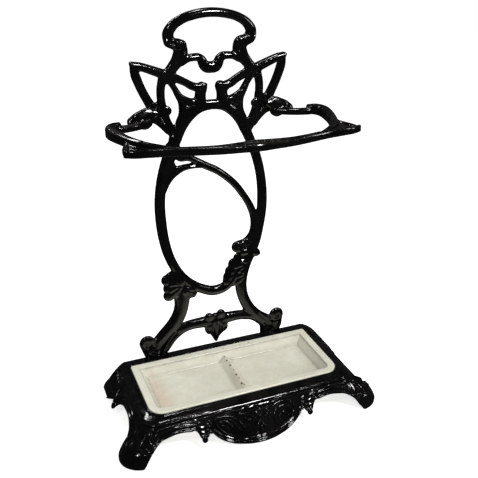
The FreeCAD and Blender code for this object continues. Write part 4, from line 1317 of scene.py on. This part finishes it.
# %% Black enamel
def black_enamel(name, dust, wear, roughness):
    material, tree, shader = finish(name)
    dust_mask = math_node(tree, "MULTIPLY", place_group(tree, SETTLED_DUST, Reach=0.35), dust)
    wear_mask = math_node(tree, "MULTIPLY", place_group(tree, EDGE_WEAR), wear)
    cloud = between(tree, noise(tree, 14.0, detail=4.0), 0.35, 0.7)
    black = mix_colour(tree, cloud, (0.0012, 0.0012, 0.0013), (0.0028, 0.0027, 0.0026))
    worn = mix_colour(tree, wear_mask, black, (0.085, 0.07, 0.058))
    tree.links.new(mix_colour(tree, dust_mask, worn, (0.12, 0.108, 0.095)), shader["Base Color"])
    wave = noise(tree, 60.0, detail=5.0, roughness=0.7)
    streak = between(tree, wave, 0.3, 0.75, roughness - 0.04, roughness + 0.07)
    dull = math_node(tree, "MULTIPLY", math_node(tree, "ADD", dust_mask, wear_mask), 0.6)
    tree.links.new(math_node(tree, "ADD", streak, dull, clamp=True), shader["Roughness"])
    shader["Specular IOR Level"].default_value = 0.4
    shader["IOR"].default_value = 1.5
    shader["Coat Weight"].default_value = 0.32
    shader["Coat Roughness"].default_value = 0.035
    skin = place_group(tree, CAST_GRAIN, Swell_size=120.0, Pimple_size=480.0, Pimples=0.22)
    add_bump(tree, shader, skin, 0.35, 0.0009)
    return material


BLACK = black_enamel("black_enamel", dust=0.03, wear=0.06, roughness=0.07)
RAIL_BLACK = black_enamel("rail_enamel", dust=0.13, wear=0.22, roughness=0.10)
BASE_BLACK = black_enamel("base_enamel", dust=0.04, wear=0.08, roughness=0.07)
print("black enamel as", BLACK.name, RAIL_BLACK.name, BASE_BLACK.name)

# %% [markdown]
# ### Cream enamel
#
# The tray is vitreous enamel, glass fused on iron: a warm off-white that is a little uneven. Its crease, the
# foot of its walls and, thinly, its walls and floors are painted darker, partly as dirt and partly as painted
# shade; one well has a pinkish rust stain, and the glass has dark chips along the ridge, pits in the rim and
# fine specks, where the iron shows. Noise gives what is random; the stains and the larger chips have places
# of their own.

# %% Cream enamel
def spot(tree, centre, size, ragged=0.25, edge=0.18):
    """One ragged spot: one inside, zero outside. The distance from the centre, over the size on
    each axis, is disturbed by noise before it is cut."""
    where = tree.nodes.new("ShaderNodeTexCoord").outputs["Object"]
    shift = tree.nodes.new("ShaderNodeMapping")
    shift.vector_type = "TEXTURE"
    shift.inputs["Location"].default_value = centre
    shift.inputs["Scale"].default_value = size
    tree.links.new(where, shift.inputs["Vector"])
    reach = tree.nodes.new("ShaderNodeVectorMath")
    reach.operation = "LENGTH"
    tree.links.new(shift.outputs[0], reach.inputs[0])
    torn = math_node(tree, "SUBTRACT", noise(tree, 130.0, detail=5.0, roughness=0.7), 0.5)
    rough = math_node(tree, "MULTIPLY", torn, ragged * 4)
    return between(tree, math_node(tree, "ADD", reach.outputs["Value"], rough), 1.0 + edge, 1.0 - edge)


def most(tree, masks):
    """The largest of several masks."""
    out = masks[0]
    for mask in masks[1:]:
        out = math_node(tree, "MAXIMUM", out, mask)
    return out


CHIPS = ((-0.4, 48, 1.3), (-1.0, 63, 1.8), (0.5, 72, 1.2), (-0.3, 80, 2.0), (0.3, 96, 1.2),
         (-0.6, 112, 1.9), (0.4, 124, 1.3), (-1.2, 141, 2.0), (1.4, 146, 1.4))
RIM_PITS = ((57, 31, 1.4), (3, 32, 1.0), (38, 33, 0.8), (-63, 29, 0.7), (112, 30, 0.7))
FLOOR_Z, CREST_Z = (TRAY_TOP - WELL) * MM, (TRAY_TOP - WELL + RIDGE) * MM
SPOT_DEPTH = 4.0 * MM


def chipped(tree, places, z, stretch):
    """A list of ragged spots at height z. A place is (sideways, forward of the lap, radius)."""
    masks = []
    for u, forward, r in places:
        centre = (u * MM, LAP_Y - forward * MM, z)
        masks.append(spot(tree, centre, (r * MM, stretch * r * MM, SPOT_DEPTH), 0.16))
    return masks


def bare_iron(tree):
    """One where the glass is gone: chips along the ridge, pits in the rim, and fine random specks."""
    specks = between(tree, noise(tree, 260.0, detail=2.0, roughness=0.4), 0.745, 0.77)
    chips = chipped(tree, CHIPS, CREST_Z, 1.4) + chipped(tree, RIM_PITS, TRAY_TOP * MM, 1.0)
    return most(tree, chips + [math_node(tree, "MULTIPLY", specks, 0.7)])


def overlay(tree, colour, mask, strength, stain):
    """A colour with a stain laid over it at part strength."""
    return mix_colour(tree, math_node(tree, "MULTIPLY", mask, strength), colour, stain)


def stained_cream(tree):
    """The glass itself: mottled cream, then rust stains, the stored darkening of dirt and painted shade,
    scuffs and a brown halo.
    """
    mottle = between(tree, noise(tree, 26.0, detail=5.0, roughness=0.6), 0.35, 0.68)
    cream = mix_colour(tree, mottle, (0.645, 0.63, 0.515), (0.71, 0.70, 0.59))
    pink = spot(tree, (-0.146, LAP_Y - 0.105, FLOOR_Z), (0.013, 0.052, 0.02), 0.3, 0.8)
    rust = spot(tree, (0.150, LAP_Y - 0.150, FLOOR_Z + 0.006), (0.006, 0.007, 0.02), 0.4, 0.8)
    cream = overlay(tree, cream, pink, 0.5, (0.60, 0.45, 0.36))
    cream = overlay(tree, cream, rust, 0.45, (0.52, 0.36, 0.26))
    # Dirt and painted shade: the stored mask turns the cream dark brown in the crease, at the wall's foot and
    # over walls and floors.
    dirt_and_shade_node = tree.nodes.new("ShaderNodeAttribute")
    dirt_and_shade_node.attribute_name = "grime_and_shade"
    broken = between(tree, noise(tree, 70.0, detail=5.0, roughness=0.7), 0.2, 0.75, 0.35, 0.85)
    grime_and_shade = math_node(tree, "MULTIPLY", dirt_and_shade_node.outputs["Fac"], broken)
    cream = mix_colour(tree, grime_and_shade, cream, (0.26, 0.235, 0.18))
    scuff = between(tree, noise(tree, 34.0, detail=8.0, roughness=0.8), 0.58, 0.74, 0.0, 0.16)
    cream = mix_colour(tree, scuff, cream, (0.42, 0.40, 0.34))
    halo = spot(tree, (0.0, TRAY_MID_Y, CREST_Z), (0.007, 0.055, 0.006), 0.5, 0.6)
    return overlay(tree, cream, halo, 0.22, (0.46, 0.38, 0.26))


def tray_enamel():
    material, tree, shader = finish("cream_enamel")
    bare = bare_iron(tree)
    tree.links.new(mix_colour(tree, bare, stained_cream(tree), (0.03, 0.02, 0.015)), shader["Base Color"])
    gloss = between(tree, noise(tree, 90.0, detail=4.0), 0.3, 0.7, 0.20, 0.34)
    dull = math_node(tree, "MULTIPLY", bare, 0.5)
    tree.links.new(math_node(tree, "ADD", gloss, dull, clamp=True), shader["Roughness"])
    shader["Coat Weight"].default_value = 0.3
    shader["Coat Roughness"].default_value = 0.12
    skin = place_group(tree, CAST_GRAIN, Swell_size=60.0, Pimple_size=300.0, Pimples=0.15)
    add_bump(tree, shader, math_node(tree, "SUBTRACT", skin, bare), 0.3, 0.0008)
    return material


CREAM = tray_enamel()
print("the ridge of the tray is at", round(CREST_Z, 4), "m")

# %% [markdown]
# ### Blackened steel
#
# The screws, washers and square nuts stay as the engineering model made them. Their blackened steel
# has turned brown at the edges, with traces of rust in random patches.

# %% Blackened steel
def blackened_steel():
    material, tree, shader = finish("blackened_steel")
    rust = between(tree, noise(tree, 170.0, detail=6.0, roughness=0.7), 0.5, 0.68)
    wear = math_node(tree, "MULTIPLY", place_group(tree, EDGE_WEAR, From=0.51, To=0.58, Chip_size=400.0), 0.7)
    dark = mix_colour(tree, rust, (0.018, 0.017, 0.017), (0.055, 0.034, 0.022))
    tree.links.new(mix_colour(tree, wear, dark, (0.22, 0.2, 0.18)), shader["Base Color"])
    tree.links.new(between(tree, rust, 0.0, 1.0, 0.34, 0.62), shader["Roughness"])
    tree.links.new(between(tree, rust, 0.0, 1.0, 0.85, 0.25), shader["Metallic"])
    skin = place_group(tree, CAST_GRAIN, Swell_size=400.0, Pimple_size=1600.0, Pimples=0.6)
    add_bump(tree, shader, skin, 0.3, 0.0002)
    return material


STEEL = blackened_steel()
KINDS = ("base_screw", "base_washer", "base_nut", "rail_screw", "rail_washer")
FASTENERS = [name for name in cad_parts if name.startswith(KINDS)]
for name in FASTENERS:
    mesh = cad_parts[name].data
    mesh.materials.clear()
    mesh.materials.append(STEEL)
print(len(FASTENERS), "fastener nodes in blackened steel")

# %% [markdown]
# ## Putting it together
#
# Each casting takes its finish, rides on the body it belongs to and stands in for the plain node of
# the same casting.

# %% Attach the pieces
def attach(piece, material, body, node):
    piece.data.materials.clear()
    piece.data.materials.append(material)
    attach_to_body(piece, body)
    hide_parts(node)


attach(back, BLACK, "stand", "back_casting")
attach(rail, RAIL_BLACK, "stand", "umbrella_rail")
attach(base, BASE_BLACK, "stand", "base_casting")
attach(tray, CREAM, "tray", "drip_tray")
print("attached back, rail, base and tray")

# %% [markdown]
# ## Floor and light
#
# The floor is pale and glows faintly, so that it stays white under soft shadows. The surround is white
# to the eye, lights the piece a little, and is almost dark in a reflection: black enamel looks black
# only where it mirrors something dark. A Light Path node tells these rays apart. Five soft boxes draw
# the highlights: the key is high in front and to the right, smaller ones are on the left and
# overhead, a tall narrow one is at the right, and a wide flat one is high up behind.

# %% Floor
FLOOR_HALF = 14.0
FLOOR_GLOW = 0.68
MIRRORED_FLOOR = 0.02                         # grey of the floor as a polished face mirrors it


def make_floor():
    """A large square. It is pale and glows for every ray but a mirrored one, which finds it dark."""
    corners = FLOOR_HALF * np.array([(-1, -1, 0), (1, -1, 0), (1, 1, 0), (-1, 1, 0)], float)
    floor = new_object("floor", corners, [[0, 1, 2, 3]])
    material, tree, shader = finish("pale_floor")
    cloud = noise(tree, 3.0, detail=3.0)
    tree.links.new(mix_colour(tree, cloud, (0.92, 0.92, 0.92), (0.95, 0.95, 0.95)), shader["Base Color"])
    shader["Roughness"].default_value = 0.85
    shader["Emission Color"].default_value = (1.0, 1.0, 1.0, 1.0)
    shader["Emission Strength"].default_value = FLOOR_GLOW
    shader["Specular IOR Level"].default_value = 0.2
    dim = tree.nodes.new("ShaderNodeBsdfDiffuse")
    dim.inputs["Color"].default_value = (MIRRORED_FLOOR, MIRRORED_FLOOR, MIRRORED_FLOOR, 1.0)
    choose = tree.nodes.new("ShaderNodeMixShader")
    path = tree.nodes.new("ShaderNodeLightPath")
    tree.links.new(path.outputs["Is Glossy Ray"], choose.inputs[0])
    tree.links.new(tree.nodes["Principled BSDF"].outputs[0], choose.inputs[1])
    tree.links.new(dim.outputs[0], choose.inputs[2])
    tree.links.new(choose.outputs[0], tree.nodes["Material Output"].inputs["Surface"])
    floor.data.materials.append(material)


make_floor()
print("floor laid")

# %% Lights
MIDDLE = (0.0, 0.0, 0.3)


def soft_box(name, place, size, watts):
    """An area light at place that looks at the middle of the stand. size is (width, height)."""
    data = bpy.data.lights.new(name, "AREA")
    data.shape = "RECTANGLE"
    data.size, data.size_y = size
    data.energy = watts
    light = bpy.data.objects.new(name, data)
    away = Vector(place) - Vector(MIDDLE)
    light.location = place
    light.rotation_euler = away.to_track_quat("Z", "Y").to_euler()
    bpy.context.scene.collection.objects.link(light)


def surround(seen, lit, mirrored):
    """A white surround with three strengths: as the eye sees it, as it lights the piece, and as a
    polished face mirrors it, which dark cloths hung out of view would lower."""
    world = bpy.data.worlds.new("surround")
    world.use_nodes = True
    tree = world.node_tree
    sky = tree.nodes["Background"]
    path = tree.nodes.new("ShaderNodeLightPath")
    unseen = between(tree, path.outputs["Is Glossy Ray"], 0.0, 1.0, lit, mirrored)
    extra = between(tree, path.outputs["Is Camera Ray"], 0.0, 1.0, 0.0, seen - lit)
    tree.links.new(math_node(tree, "ADD", unseen, extra), sky.inputs["Strength"])
    sky.inputs["Color"].default_value = (1.0, 1.0, 1.0, 1.0)
    bpy.context.scene.world = world


surround(seen=1.0, lit=0.36, mirrored=0.022)
soft_box("key", (0.75, -1.55, 2.0), (0.42, 0.24), 36.0)
soft_box("left", (-1.2, -1.2, 1.9), (0.18, 0.26), 8.0)
soft_box("top", (0.2, -0.1, 2.3), (0.30, 0.22), 10.0)
soft_box("side", (1.7, -0.9, 1.3), (0.08, 0.7), 4.0)
soft_box("rear", (-0.5, 1.6, 1.9), (0.9, 0.14), 8.0)
bpy.context.scene.view_settings.view_transform = "Standard"
print("lights on")

# %% Update the scene
bpy.context.view_layer.update()
